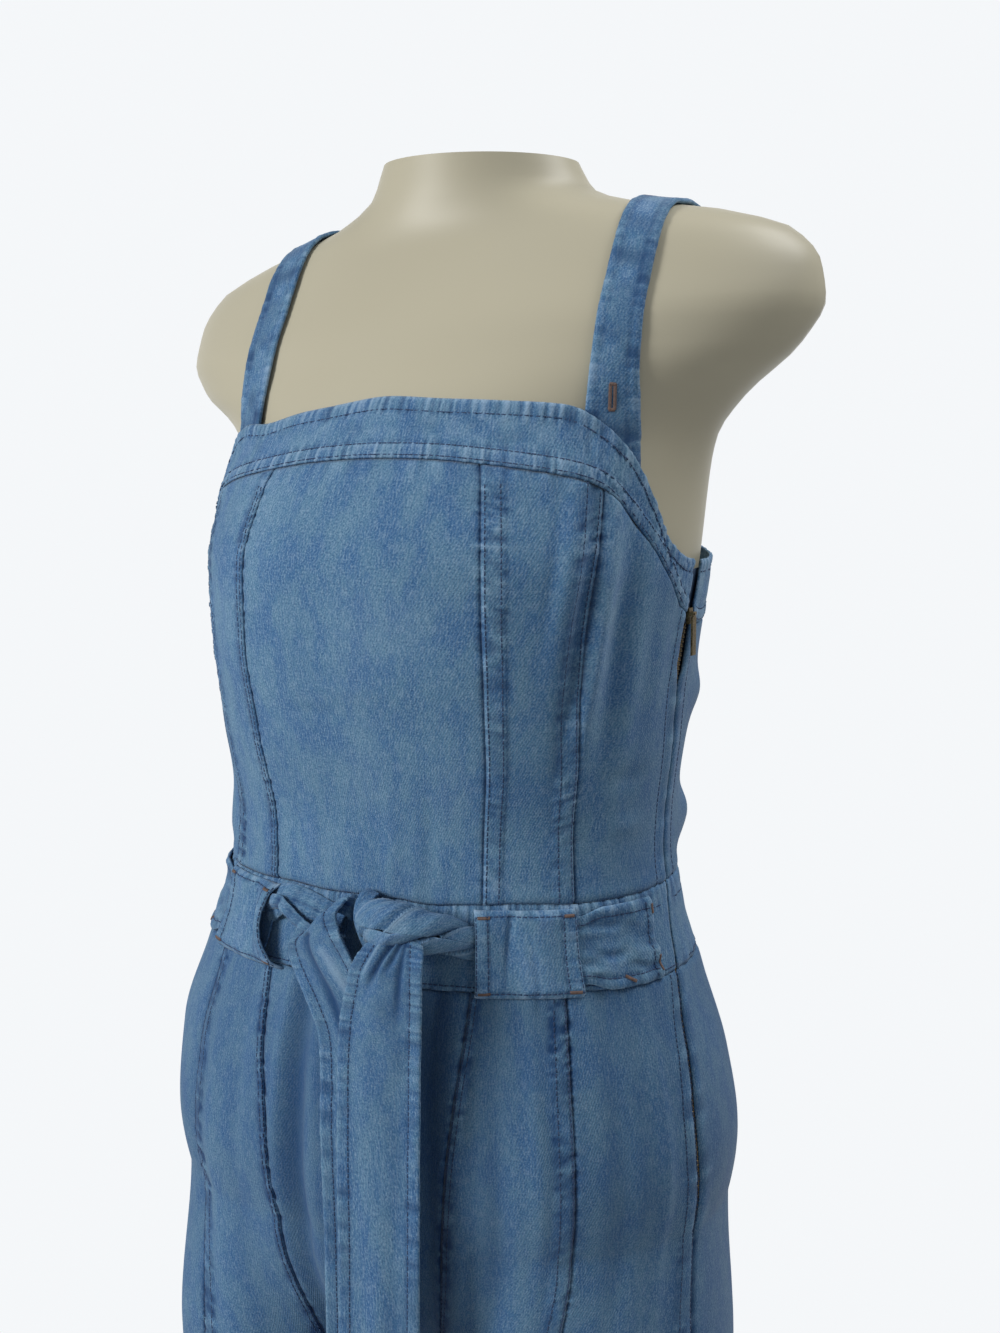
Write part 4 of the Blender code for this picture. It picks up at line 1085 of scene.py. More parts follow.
def thread_material(name, colour):
    """Twisted polyester thread: a soft shine along fine slanted plies."""
    tree, shader = new_material(name)
    where = add_node(tree, "ShaderNodeTexCoord").outputs["Object"]
    ply = add_node(tree, "ShaderNodeTexNoise", Vector=where, Scale=1 / 0.0009, Detail=1.0)
    shade = add_node(tree, "ShaderNodeMapRange", Value=ply.outputs[0], From_Min=0.3, From_Max=0.7,
                     To_Min=0.0, To_Max=0.35)
    dark = tuple(c * 0.55 for c in colour)
    tree.links.new(mix(tree, shade.outputs[0], rgba(colour), rgba(dark)), shader.inputs["Base Color"])
    shader.inputs["Roughness"].default_value = 0.6


def form_material():
    """Glass fibre shell, sprayed cream and rubbed to a satin: a broad soft highlight, faint unevenness."""
    colour = bpy.context.scene.jumpsuit_colours.form
    tree, shader = new_material("satin sprayed glass fibre")
    where = add_node(tree, "ShaderNodeTexCoord").outputs["Object"]
    cloud = add_node(tree, "ShaderNodeTexNoise", Vector=where, Scale=1 / 0.09, Detail=3.0)
    shade = add_node(tree, "ShaderNodeMapRange", Value=cloud.outputs[0], From_Min=0.35, From_Max=0.65,
                     To_Min=0.0, To_Max=0.10)
    warm = (colour[0] * 0.93, colour[1] * 0.88, colour[2] * 0.78)
    tree.links.new(mix(tree, shade.outputs[0], rgba(colour), rgba(warm)), shader.inputs["Base Color"])
    orange = add_node(tree, "ShaderNodeTexNoise", Vector=where, Scale=1 / 0.0018, Detail=2.0)
    relief = add_node(tree, "ShaderNodeBump", Strength=0.12, Distance=0.00006, Height=orange.outputs[0])
    tree.links.new(relief.outputs[0], shader.inputs["Normal"])
    shader.inputs["Roughness"].default_value = 0.42
    shader.inputs["Specular IOR Level"].default_value = 0.35


def steel_material():
    """Mild steel, turned and brushed: fine rings on the base, a long soft glint on the pole."""
    colour = bpy.context.scene.jumpsuit_colours.steel
    tree, shader = new_material("brushed stand steel")
    where = add_node(tree, "ShaderNodeTexCoord").outputs["Object"]
    rings = add_node(tree, "ShaderNodeTexWave", {"wave_type": "RINGS", "rings_direction": "Z"}, Vector=where,
                     Scale=0.314 / 0.0016, Distortion=0.6, Detail=2.0)
    rough = add_node(tree, "ShaderNodeMapRange", Value=rings.outputs[1], To_Min=0.30, To_Max=0.42)
    tree.links.new(rough.outputs[0], shader.inputs["Roughness"])
    relief = add_node(tree, "ShaderNodeBump", Strength=0.15, Distance=0.00004, Height=rings.outputs[1])
    tree.links.new(relief.outputs[0], shader.inputs["Normal"])
    shader.inputs["Base Color"].default_value = rgba(colour)
    shader.inputs["Metallic"].default_value = 1.0


def brass_material():
    """Antique brass: cast, darkened and rubbed bright on the high spots."""
    colour = bpy.context.scene.jumpsuit_colours.brass
    tree, shader = new_material("antique brass")
    where = add_node(tree, "ShaderNodeTexCoord").outputs["Object"]
    spots = add_node(tree, "ShaderNodeTexNoise", Vector=where, Scale=1 / 0.0012, Detail=3.0)
    dark = tuple(c * 0.45 for c in colour)
    shade = add_node(tree, "ShaderNodeMapRange", Value=spots.outputs[0], From_Min=0.4, From_Max=0.62)
    tree.links.new(mix(tree, shade.outputs[0], rgba(colour), rgba(dark)), shader.inputs["Base Color"])
    shader.inputs["Metallic"].default_value = 1.0
    shader.inputs["Roughness"].default_value = 0.38


def tape_material():
    """Woven polyester tape: a fine herringbone in dark blue."""
    colour = bpy.context.scene.jumpsuit_colours.tape
    tree, shader = new_material("woven zip tape")
    where = add_node(tree, "ShaderNodeUVMap", {"uv_map": "cloth"}).outputs[0]
    ribs = add_node(tree, "ShaderNodeTexWave", {"bands_direction": "Y"}, Vector=where, Scale=0.314 / 0.0009,
                    Distortion=0.8, Detail=1.0)
    dark = tuple(c * 0.5 for c in colour)
    tree.links.new(mix(tree, ribs.outputs[1], rgba(colour), rgba(dark)), shader.inputs["Base Color"])
    relief = add_node(tree, "ShaderNodeBump", Strength=0.4, Distance=0.0001, Height=ribs.outputs[1])
    tree.links.new(relief.outputs[0], shader.inputs["Normal"])
    shader.inputs["Roughness"].default_value = 0.85


def floor_material():
    """Painted studio floor: matt, very slightly uneven."""
    colour = bpy.context.scene.jumpsuit_colours.floor
    tree, shader = new_material("matt studio floor")
    where = add_node(tree, "ShaderNodeTexCoord").outputs["Object"]
    cloud = add_node(tree, "ShaderNodeTexNoise", Vector=where, Scale=2.0, Detail=2.0)
    shade = add_node(tree, "ShaderNodeMapRange", Value=cloud.outputs[0], To_Min=0.0, To_Max=0.04)
    dark = tuple(c * 0.85 for c in colour)
    tree.links.new(mix(tree, shade.outputs[0], rgba(colour), rgba(dark)), shader.inputs["Base Color"])
    shader.inputs["Roughness"].default_value = 0.8


class OBJECT_OT_jumpsuit_finishes(bpy.types.Operator):
    """Make the materials of the cloth, the form, the stand and the zip"""
    bl_idname = "object.jumpsuit_finishes"
    bl_label = "Finishes"

    def execute(self, context):
        colours = context.scene.jumpsuit_colours
        denim_material()
        thread_material("tonal topstitching thread", colours.thread)
        thread_material("brown bartack thread", colours.rust)
        form_material()
        steel_material()
        brass_material()
        tape_material()
        floor_material()
        return {"FINISHED"}


def constant(value):
    """An edge or seam that stays at one value."""
    return lambda turn: value + 0.0 * np.asarray(turn, float)


class OBJECT_OT_jumpsuit_bodice(bpy.types.Operator):
    """Sew the bodice panels and the band along the top edge"""
    bl_idname = "object.jumpsuit_bodice"
    bl_label = "Bodice"

    def execute(self, context):
        foot, top, edge = waist_level, band_level(BAND_SEAM), band_level(BAND_EDGE)
        princess, side_front = seam_turn(PRINCESS), seam_turn(SIDE_FRONT)
        front_zip, back_zip = zip_edge(-1), zip_edge(1)
        # Name, first and second seam, columns and rows of the grid
        for name, first, second, columns, rows in (
                ("bodice_front", seam_turn(PRINCESS, -1), princess, 100, 150),
                ("bodice_side_front_left", princess, side_front, 44, 140),
                ("bodice_side_front_right", seam_turn(SIDE_FRONT, -1), seam_turn(PRINCESS, -1), 44, 140),
                ("bodice_side_left", side_front, front_zip, 46, 120),
                ("bodice_side_right", seam_turn(SIDE_SEAM, -1), seam_turn(SIDE_FRONT, -1), 38, 110),
                ("bodice_back", back_zip, right_seam_behind, 120, 80)):
            panel(name, first, second, foot, top, columns, rows, bodice_surface)
        panel("top_band_front", seam_turn(SIDE_SEAM, -1), front_zip, top, edge, 380, 28, band_surface)
        panel("top_band_back", back_zip, right_seam_behind, top, edge, 260, 20, band_surface)
        return {"FINISHED"}


class OBJECT_OT_jumpsuit_waistband(bpy.types.Operator):
    """Sew the waistband, front and back"""
    bl_idname = "object.jumpsuit_waistband"
    bl_label = "Waistband"

    def execute(self, context):
        foot, top = constant(WAISTBAND_FOOT), waist_level
        panel("waistband_front", seam_turn(SIDE_SEAM, -1), zip_edge(-1), foot, top,
              360, 30, waistband_surface)
        panel("waistband_back", zip_edge(1), right_seam_behind, foot, top, 220, 20, waistband_surface)
        return {"FINISHED"}


class OBJECT_OT_jumpsuit_trousers(bpy.types.Operator):
    """Sew the four panels of each trouser leg"""
    bl_idname = "object.jumpsuit_trousers"
    bl_label = "Trousers"

    def execute(self, context):
        def share(column):
            return lambda level: curve(SEAMS, level, column) / 180.0

        def opened(side, way):
            """The side seam, parted on the left above the foot of the zip."""
            def at(level):
                gape = ZIP_SHUT_TURN / 180.0 * ramp(level, ZIP_FOOT - 0.03, ZIP_FOOT) if side > 0 else 0.0
                return curve(SEAMS, level, SIDE_SEAM) / 180.0 + way * gape
            return at

        for side, word in ((1, "left"), (-1, "right")):
            leg_panel("trouser_front_inner_" + word, side, constant(0.0), share(PRINCESS), 32, 190)
            leg_panel("trouser_front_middle_" + word, side, share(PRINCESS), share(SIDE_FRONT), 40, 190)
            leg_panel("trouser_front_side_" + word, side, share(SIDE_FRONT), opened(side, -1), 40, 190)
            leg_panel("trouser_back_" + word, side, opened(side, 1), constant(1.0), 60, 150)
        return {"FINISHED"}


class OBJECT_OT_jumpsuit_straps(bpy.types.Operator):
    """Sew the shoulder straps"""
    bl_idname = "object.jumpsuit_straps"
    bl_label = "Straps"

    def execute(self, context):
        for side, word in ((1, "left"), (-1, "right")):
            free_cloth(f"strap_{word}_cloth", [f"strap_{word}"], strap_surface(side, word), 20, 220,
                       thickness=0.0020, size=(0.027, 0.500))
        return {"FINISHED"}


def strap_surface(side, word):
    """Outer face of the solid strap, found from outside towards the middle of the shoulder."""
    solid = bpy.data.objects[f"strap_{word}"]
    # Lines found along the strap, spread over this share of its width
    lines, steps, inset = 5, 160, 0.80
    spots = np.full((lines, steps + 1, 3), np.nan)
    for i in range(lines):
        for k in range(steps + 1):
            spots[i, k] = strap_spot(solid, side, inset * (0.5 * i - 1), k / steps)
    # The solid's ends are cut a little short of the first and last angles, and its end faces are left out
    hit = np.flatnonzero(~np.isnan(spots[:, :, 0]).any(axis=0))[2:-2]
    spots = spots[:, hit]
    angles = STRAP_FRONT_ANGLE + hit / steps * (STRAP_BACK_ANGLE - STRAP_FRONT_ANGLE)
    # Both ends run on, straight, inside the bands
    extra = 8
    on = (np.arange(1, extra + 1) / extra)[:, None]
    first, last = spots[:, :1], spots[:, -1:]
    spots = np.concatenate([first + (first - spots[:, extra:extra + 1]) * on[::-1], spots,
                            last + (last - spots[:, -extra - 1:-extra]) * on], axis=1)
    angles = np.concatenate([np.full(extra, angles[0]), angles, np.full(extra, angles[-1])])
    steps = len(angles) - 1
    length = float(np.linalg.norm(np.diff(spots[2], axis=0), axis=1).sum())

    def at(across, along):
        across, along = np.broadcast_arrays(across, along)
        a = 2 * across - 1
        row = (a / inset + 1) * (lines - 1) / 2
        i = np.clip(np.floor(row).astype(int), 0, lines - 2)
        k = along * steps
        j = np.clip(np.floor(k).astype(int), 0, steps - 1)
        s, t = (row - i)[..., None], (k - j)[..., None]
        points = ((spots[i, j] * (1 - t) + spots[i, j + 1] * t) * (1 - s)
                  + (spots[i + 1, j] * (1 - t) + spots[i + 1, j + 1] * t) * s)
        angle = np.interp(along, np.linspace(0, 1, steps + 1), angles)
        out = np.stack([0 * angle, -np.sin(angle), np.cos(angle)], axis=-1)
        run = along * length
        lift = 0.0002 + 0.0003 * grain(run / 0.012, a * 1.5, 81)
        wear_and_shade = 0.65 * grain(run / 0.010, a * 1.3, 82) - 0.35
        for edge in ((1 + a) * STRAP_WIDTH / 2, (1 - a) * STRAP_WIDTH / 2):
            height, paleness = hem_relief(edge, run, 83, hem=0.0052, pucker=0.00035)
            lift, wear_and_shade = lift + height, wear_and_shade + paleness
        return points + out * lift[..., None], wear_and_shade, np.stack([a * STRAP_WIDTH / 2, run], axis=-1)
    return at


def strap_spot(solid, side, a, along):
    """Point of the solid strap's outer face, or nan past its ends. Across is a, from -1 to 1."""
    angle = STRAP_FRONT_ANGLE + along * (STRAP_BACK_ANGLE - STRAP_FRONT_ANGLE)
    inward = float(ramp(along, 0.45, 1.0)) * (STRAP_X - STRAP_BACK_X)
    x = side * (STRAP_X - inward) + STRAP_SHIFT + side * a * STRAP_WIDTH / 2
    way = Vector((0.0, -math.sin(angle), math.cos(angle)))
    reach = 0.5
    start = Vector((x, *STRAP_PIVOT)) + way * reach
    found, spot, _, _ = solid.ray_cast(start, -way, distance=reach * 0.95)
    return spot if found else (math.nan, math.nan, math.nan)


class OBJECT_OT_jumpsuit_carriers(bpy.types.Operator):
    """Sew the two wide belt carriers"""
    bl_idname = "object.jumpsuit_carriers"
    bl_label = "Belt carriers"

    def execute(self, context):
        for side, word in ((1, "left"), (-1, "right")):
            free_cloth(f"belt_carrier_{word}_cloth", [f"belt_carrier_{word}"], carrier_surface(side),
                       86, 54)
        return {"FINISHED"}


def carrier_surface(side):
    """Outer face of a carrier. Across runs from the mouth beside the knot to the side of the body."""
    low, high = CARRIER_TURNS
    top, foot = CARRIER_LEVELS
    width = math.radians(high - low) * SEAM_RADIUS

    def at(across, along):
        across, along = np.broadcast_arrays(across, along)
        level = foot + along * (top - foot)
        run, tall = across * width, along * (top - foot)
        room = ramp(along, 0.0, 0.10) * (1 - ramp(along, 0.90, 1.0))
        lift = 0.0021 * room
        # The mouth gapes, the right one far more than the left one
        widest = 0.0034 if side > 0 else 0.0085
        gape = widest * (1 - ramp(across, 0.0, 0.45)) * np.sin(np.pi * along) ** 0.8
        turn = side * (low + across * (high - low))
        if side < 0:
            slant = 5.5 * (1 - along) ** 1.5 - 1.8 * np.sin(np.pi * along)
            turn = turn + slant * (1 - across)
        lift = lift + gape
        lift = lift + 0.0009 * room * np.cos(2 * np.pi * (across * 1.6 + 0.25 * grain(along * 2, 0.5, 91)))
        lift = lift - 0.0011 * room * bump(across, 0.29 + 0.10 * along, 0.040) * ramp(along, 0.1, 0.6)
        lift = lift - 0.0008 * room * bump(across, 0.62 - 0.10 * along, 0.05) * (1 - ramp(along, 0.4, 0.9))
        lift = lift + 0.0005 * grain(run / 0.010, tall / 0.020, 92 + side)
        wear_and_shade = 0.2 * grain(run / 0.010, tall / 0.014, 93)
        # Painted shade in the shallow crease that runs down the carrier
        wear_and_shade = wear_and_shade - 0.4 * room * bump(across, 0.27 + 0.10 * along, 0.03)
        for edge in (run, width - run):
            height, paleness = hem_relief(edge, tall, 94, hem=0.0085, pucker=0.0004)
            lift, wear_and_shade = lift + height, wear_and_shade + paleness
        for edge in (tall, top - foot - tall):
            height, paleness = hem_relief(edge, run, 96, hem=0.0035, pucker=0.0003)
            lift, wear_and_shade = lift + height, wear_and_shade + paleness
        points = cloth(turn, level, SASH_OUT + WALL + lift)
        return points, wear_and_shade, np.stack([run, tall], axis=-1)
    return at


def sash_end_surface(side):
    """Flat end of the sash, from the side of the body to inside the carrier's mouth."""
    low, high = CARRIER_TURNS
    width = math.radians(ANCHOR_TURN - low) * WAIST_RADIUS

    def at(across, along):
        across, along = np.broadcast_arrays(across, along)
        turn = ANCHOR_TURN + across * (low + 2.0 - ANCHOR_TURN)
        spread = ramp(turn, high + 1.0, high + 7.0)
        half = SASH_HALF_IN_CARRIER + spread * (SASH_WIDTH / 2 - SASH_HALF_IN_CARRIER)
        a = 2 * along - 1
        run, tall = across * width, a * half
        level = SASH_LEVEL + tall
        # Squeezed into the carrier, the flat end wrinkles lengthwise
        free = ramp(turn, high - 4, high + 3)
        wave = grain(tall / 0.0042 + 0.6 * grain(run / 0.010, 0.5, 101), run / 0.016, 102)
        lift = 0.0010 * wave * free + 0.0006 * grain(tall / 0.008, run / 0.020, 103) * free
        wear_and_shade = 0.45 * wave * free - 0.25
        for edge in ((1 + a) * half, (1 - a) * half):
            height, paleness = hem_relief(edge, run, 104, hem=0.0065)
            lift, wear_and_shade = lift + height, wear_and_shade + paleness
        height, paleness = hem_relief(run, tall, 106, hem=0.0060)
        lift, wear_and_shade = lift + height, wear_and_shade + paleness
        points = cloth(side * turn, level, SASH_OUT + 0.0018 + lift)
        return points, wear_and_shade, np.stack([run, tall], axis=-1)
    return at


class OBJECT_OT_jumpsuit_sash(bpy.types.Operator):
    """Tie the sash: its ends at the sides, the twisted run, the loop and the two tails"""
    bl_idname = "object.jumpsuit_sash"
    bl_label = "Sash"

    def execute(self, context):
        for side, word in ((1, "left"), (-1, "right")):
            free_cloth(f"sash_{word}_cloth", [f"sash_{word}"], sash_end_surface(side), 110, 44)
        free_cloth("sash_right_inner_cloth", [], ribbon_surface(RIBBON_INNER, -1, 1.0, 201), 30, 70)
        free_cloth("sash_right_hem_cloth", [], ribbon_surface(RIBBON_HEM, -1, 0.5, 202), 20, 80)
        free_cloth("sash_hollow_cloth", [], ribbon_surface(RIBBON_HOLLOW, -1, 1.5, 203, hems=(False, False)),
                   24, 44)
        free_cloth("sash_twist_cloth", ["sash_knot"], twist_surface(KNOT_ROWS, 1.05, 3, 204), 130, 116,
                   thickness=0.0016)
        free_cloth("sash_tail_front_cloth", ["sash_tail_front"],
                   ribbon_surface(RIBBON_FRONT, -1, 1.5, 205, FRONT_CREASES, end_hem=True), 46, 240,
                   thickness=0.0020)
        free_cloth("sash_tail_back_cloth", ["sash_tail_back"],
                   ribbon_surface(RIBBON_BACK, -1, 1.5, 206, BACK_CREASES, end_hem=True), 46, 240,
                   thickness=0.0020)
        return {"FINISHED"}


class OBJECT_OT_jumpsuit_zip(bpy.types.Operator):
    """Weave the zip's tape, set its teeth and finish its slider and tab"""
    bl_idname = "object.jumpsuit_zip"
    bl_label = "Side zip"

    def execute(self, context):
        def tape(across, along):
            # The tape runs 10 mm below the foot of the zip and 4 mm above its top
            foot, top = ZIP_FOOT - 0.010, ZIP_TOP + 0.004
            level = foot + along * (top - foot)
            turn = curve(SEAMS, level, SIDE_SEAM) + (2 * across - 1) * TAPE_HALF_TURN
            points = side_point(turn, level, -TAPE_SETBACK)
            return points, np.stack([across * 0.025, level], axis=-1), 0.0 * across

        obj = sheet_grid("zip_tape_cloth", tape, 8, 120, bpy.data.materials["woven zip tape"], 0.0007)
        dress(obj, ["zip_tape"], grid_size(tape))
        deselect()
        pitch = context.scene.jumpsuit_sizes.tooth_pitch
        bpy.ops.mesh.primitive_cube_add(size=1.0)
        bpy.ops.object.mode_set(mode="EDIT")
        bpy.ops.mesh.bevel(offset=0.16, segments=1, affect="EDGES")
        bpy.ops.object.mode_set(mode="OBJECT")
        level = np.arange(ZIP_FOOT + 0.001, SLIDER_LEVEL - 0.005, pitch / 2)
        turn = curve(SEAMS, level, SIDE_SEAM) + np.where(np.arange(len(level)) % 2, 0.22, -0.22)
        on_tape = -TAPE_SETBACK + 0.0011
        frames = line_frames(lambda t, l: side_point(t, l, on_tape), turn, level, TURN_STEP, 0.0004)
        scatter(context.object, "zip_teeth", frames, (pitch * 0.42, 0.0042, 0.0016), "antique brass")
        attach(context.object, "jumpsuit")
        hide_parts("zip_chain")
        for name in ("zip_slider", "zip_pull_tab"):
            finish_node(name, "antique brass")
        return {"FINISHED"}


def side_point(turn, level, out):
    """Points at the left side of the body or of the left leg."""
    turn, level = np.broadcast_arrays(turn, level)
    upper = cloth(turn, np.maximum(level, WAISTBAND_FOOT), out)
    lower = leg(1, turn / 180.0, np.minimum(level, WAISTBAND_FOOT), out)
    return np.where((level >= WAISTBAND_FOOT)[..., None], upper, lower)


def line_frames(surface, u, v, du, dv, inside=(0.0, 0.0)):
    """Places along a line on a surface: points, and unit vectors along, across and out."""
    points = surface(u, v)
    ahead = np.gradient(points, axis=0)
    ahead /= np.linalg.norm(ahead, axis=1, keepdims=True)
    out = np.cross(surface(u + du, v) - points, surface(u, v + dv) - points)
    away = out[:, 0] * (points[:, 0] - inside[0]) + out[:, 1] * (points[:, 1] - inside[1])
    out *= np.where(away < 0, -1.0, 1.0)[:, None]
    out -= ahead * (out * ahead).sum(axis=1, keepdims=True)
    out /= np.linalg.norm(out, axis=1, keepdims=True)
    return points, ahead, np.cross(out, ahead), out


def scatter(template, name, frames, size, material):
    """Turns the template into a joined mesh with a copy of it at each frame."""
    mesh = template.data
    count = len(mesh.vertices)
    co = np.empty(count * 3)
    mesh.vertices.foreach_get("co", co)
    co = co.reshape(-1, 3) * np.asarray(size)
    points, ahead, across, out = frames
    placed = (points[:, None] + co[None, :, 0:1] * ahead[:, None] + co[None, :, 1:2] * across[:, None]
              + co[None, :, 2:3] * out[:, None])
    faces = [list(face.vertices) for face in mesh.polygons]
    shift = np.arange(len(points)) * count
    every = [[v + int(s) for v in face] for s in shift for face in faces]
    made = bpy.data.meshes.new(name)
    made.from_pydata(placed.reshape(-1, 3).tolist(), [], every)
    made.materials.append(bpy.data.materials[material])
    made.shade_smooth()
    template.data = made
    template.name = name
    bpy.data.meshes.remove(mesh)


def evenly(surface, u, v, pitch):
    """Places a pitch apart along a line on a surface, as the line's own two coordinates."""
    points = surface(u, v)
    run = np.concatenate([[0.0], np.cumsum(np.linalg.norm(np.diff(points, axis=0), axis=1))])
    at = np.arange(pitch / 2, run[-1], pitch)
    return np.interp(at, run, u), np.interp(at, run, v)


def stitches(name, lines, material="tonal topstitching thread"):
    """Rows of lockstitches, each a short grain of thread sunk by its ends into the cloth."""
    sizes = bpy.context.scene.jumpsuit_sizes
    frames = []
    for surface, u, v, du, dv, inside in lines:
        u, v = evenly(surface, u, v, sizes.stitch_pitch)
        if len(u) > 2:
            frames.append(line_frames(surface, u, v, du, dv, inside))
    joined = [np.concatenate([f[k] for f in frames]) for k in range(4)]
    deselect()
    bpy.ops.mesh.primitive_cube_add(size=0.9)
    size = (sizes.stitch_pitch * 0.82, sizes.thread_width, sizes.thread_width * 0.75)
    obj = bpy.context.object
    scatter(obj, name, joined, size, material)
    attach(obj, "jumpsuit")
    return obj


class OBJECT_OT_jumpsuit_stitching(bpy.types.Operator):
    """Run the topstitching along the seams, bands and hems"""
    bl_idname = "object.jumpsuit_stitching"
    bl_label = "Topstitching"

    def execute(self, context):
        stitches("bodice_stitches", bodice_lines())
        stitches("band_stitches", band_lines())
        stitches("trouser_stitches", trouser_lines())
        stitches("sash_stitches", sash_lines())
        return {"FINISHED"}


class OBJECT_OT_jumpsuit_bartacks(bpy.types.Operator):
    """Sew the brown bartacks of the sash and carriers and the buttonhole of the left strap"""
    bl_idname = "object.jumpsuit_bartacks"
    bl_label = "Bartacks"

    def execute(self, context):
        bars = []
        for side in (1, -1):
            place = points_of(carrier_surface(side))
            # Each bar runs from one across and along to another
            bars += [(place, 0.03, 0.925, 0.16, 0.925), (place, 0.03, 0.07, 0.15, 0.07),
                     (place, 0.87, 0.07, 0.97, 0.07), (place, 0.88, 0.93, 0.97, 0.93)]
            place = points_of(sash_end_surface(side))
            bars += [(place, 0.015, 0.10, 0.015, 0.30), (place, 0.015, 0.80, 0.015, 0.92),
                     (place, 0.20, 0.06, 0.25, 0.14)]
        strap = points_of(strap_surface(1, "left"))
        bars += [(strap, 0.455, 0.094, 0.455, 0.128), (strap, 0.545, 0.094, 0.545, 0.128),
                 (strap, 0.440, 0.094, 0.560, 0.094), (strap, 0.440, 0.128, 0.560, 0.128)]
        frames = []
        pitch = 0.0007
        for place, u_from, v_from, u_to, v_to in bars:
            u, v = evenly(place, np.linspace(u_from, u_to, 40), np.linspace(v_from, v_to, 40), pitch)
            if len(u) > 2:
                frames.append(line_frames(place, u, v, PLACE_STEP, PLACE_STEP))
        joined = [np.concatenate([f[k] for f in frames]) for k in range(4)]
        deselect()
        bpy.ops.mesh.primitive_cube_add(size=0.9)
        scatter(context.object, "bartacks", joined, (pitch * 1.1, 0.0020, 0.0009), "brown bartack thread")
        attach(context.object, "jumpsuit")
        return {"FINISHED"}


def points_of(surface):
    """A surface function that gives its points alone."""
    return lambda u, v: surface(u, v)[0]


def felled_rows():
    """Distances of the two rows of a felled seam from its fold."""
    return FIRST_ROW, bpy.context.scene.jumpsuit_sizes.felled_width - LAST_ROW


def bodice_lines():
    """Two rows on each seam of the bodice, and one on each side of the zip."""
    felled, plain = felled_rows(), (0.0016, 0.0043)
    middle = (0.0, 0.02)
    surface = points_of(bodice_surface)
    lines = []
    for side in (1, -1):
        left = side > 0
        for column, way, radius, rows in (
                (PRINCESS, 1, SEAM_RADIUS, felled if left else plain),
                (SIDE_FRONT, -1, SEAM_RADIUS, felled),
                (SIDE_SEAM, -1, SIDE_RADIUS if left else SEAM_RADIUS, (PLACKET_ROW,) if left else felled)):
            for gap in rows:
                level = np.linspace(WAIST_SEAM + 0.001, 1.29, 400)
                turn = curve(SEAMS, level, column) + way * math.degrees(gap / radius)
                level = np.minimum(level, band_level(BAND_SEAM)(turn) - 0.001)
                keep = np.concatenate([[True], np.diff(level) > 0])
                lines.append((surface, side * turn[keep], level[keep], TURN_STEP, LEVEL_STEP, middle))
    level = np.linspace(WAIST_SEAM + 0.001, 1.20, 300)
    turn = curve(SEAMS, level, SIDE_SEAM) + math.degrees(PLACKET_ROW / SIDE_RADIUS)
    lines.append((surface, turn, level, TURN_STEP, LEVEL_STEP, middle))
    return lines


def band_lines():
    """Three rows along the top band and two along the waistband, all broken off at the zip."""
    middle = (0.0, 0.02)
    turn = np.linspace(-179.5, 179.5, 3000)
    band, waistband = points_of(band_surface), points_of(waistband_surface)
    lines = []
    for part in (turn[turn < 84.5], turn[turn > 90.5]):
        seam, edge = band_level(BAND_SEAM)(part), band_level(BAND_EDGE)(part)
        for level in (seam + 0.0022, seam + 0.0082, edge - 0.0072):
            lines.append((band, part, level, TURN_STEP, LEVEL_STEP, middle))
    for part in (turn[turn < 85], turn[turn > 92]):
        for level in (WAIST_SEAM - 0.0105, WAISTBAND_FOOT + 0.003):
            lines.append((waistband, part, 0.0 * part + level, TURN_STEP, LEVEL_STEP, middle))
    return lines


def trouser_lines():
    """Two rows on the front and side seams of the legs, and one along each hem."""
    felled, plain = felled_rows(), (0.0016, 0.0050)
    lines = []
    for side in (1, -1):
        surface = points_of(leg_surface(side))
        inside = (side * 0.10, 0.0)
        for column, way, rows in ((PRINCESS, 1, plain), (SIDE_FRONT, -1, felled), (SIDE_SEAM, -1, felled)):
            level = np.linspace(HEM + 0.030, WAISTBAND_FOOT - 0.001, 900)
            for gap in rows:
                share = curve(SEAMS, level, column) / 180.0 + way * gap / LEG_GIRTH
                lines.append((surface, share, level, LEVEL_STEP, LEVEL_STEP, inside))
        share = np.linspace(0.005, 0.995, 900)
        lines.append((surface, share, 0.0 * share + HEM + 0.0235, LEVEL_STEP, LEVEL_STEP, inside))
    return lines


def sash_lines():
    """Rows inside the edges of both tails, the carriers and the flat ends of the sash."""
    middle = (0.0, 0.0)
    lines = []
    for rows, seed in ((RIBBON_FRONT, 205), (RIBBON_BACK, 206)):
        surface = points_of(ribbon_surface(rows, -1, 1.5, seed, end_hem=True))
        along = np.linspace(0.04, 0.985, 900)
        inset = 0.0074 / (2 * spline(rows, along)[:, 3])
        for across in (inset, 1 - inset):
            lines.append((surface, across, along, PLACE_STEP, LEVEL_STEP, middle))
    for side in (1, -1):
        surface = points_of(carrier_surface(side))
        along = np.linspace(0.04, 0.96, 200)
        across = np.linspace(0.02, 0.98, 300)
        for gap in (0.014, 0.13, 0.87, 0.986):
            lines.append((surface, 0 * along + gap, along, PLACE_STEP, PLACE_STEP, middle))
        for gap in (0.065, 0.935):
            lines.append((surface, across, 0 * across + gap, PLACE_STEP, PLACE_STEP, middle))
        surface = points_of(sash_end_surface(side))
        across = np.linspace(0.03, 0.50, 200)
        for gap in (0.13, 0.87):
            lines.append((surface, across, 0 * across + gap, PLACE_STEP, PLACE_STEP, middle))
        along = np.linspace(0.04, 0.96, 100)
        lines.append((surface, 0 * along + 0.05, along, PLACE_STEP, PLACE_STEP, middle))
    return lines


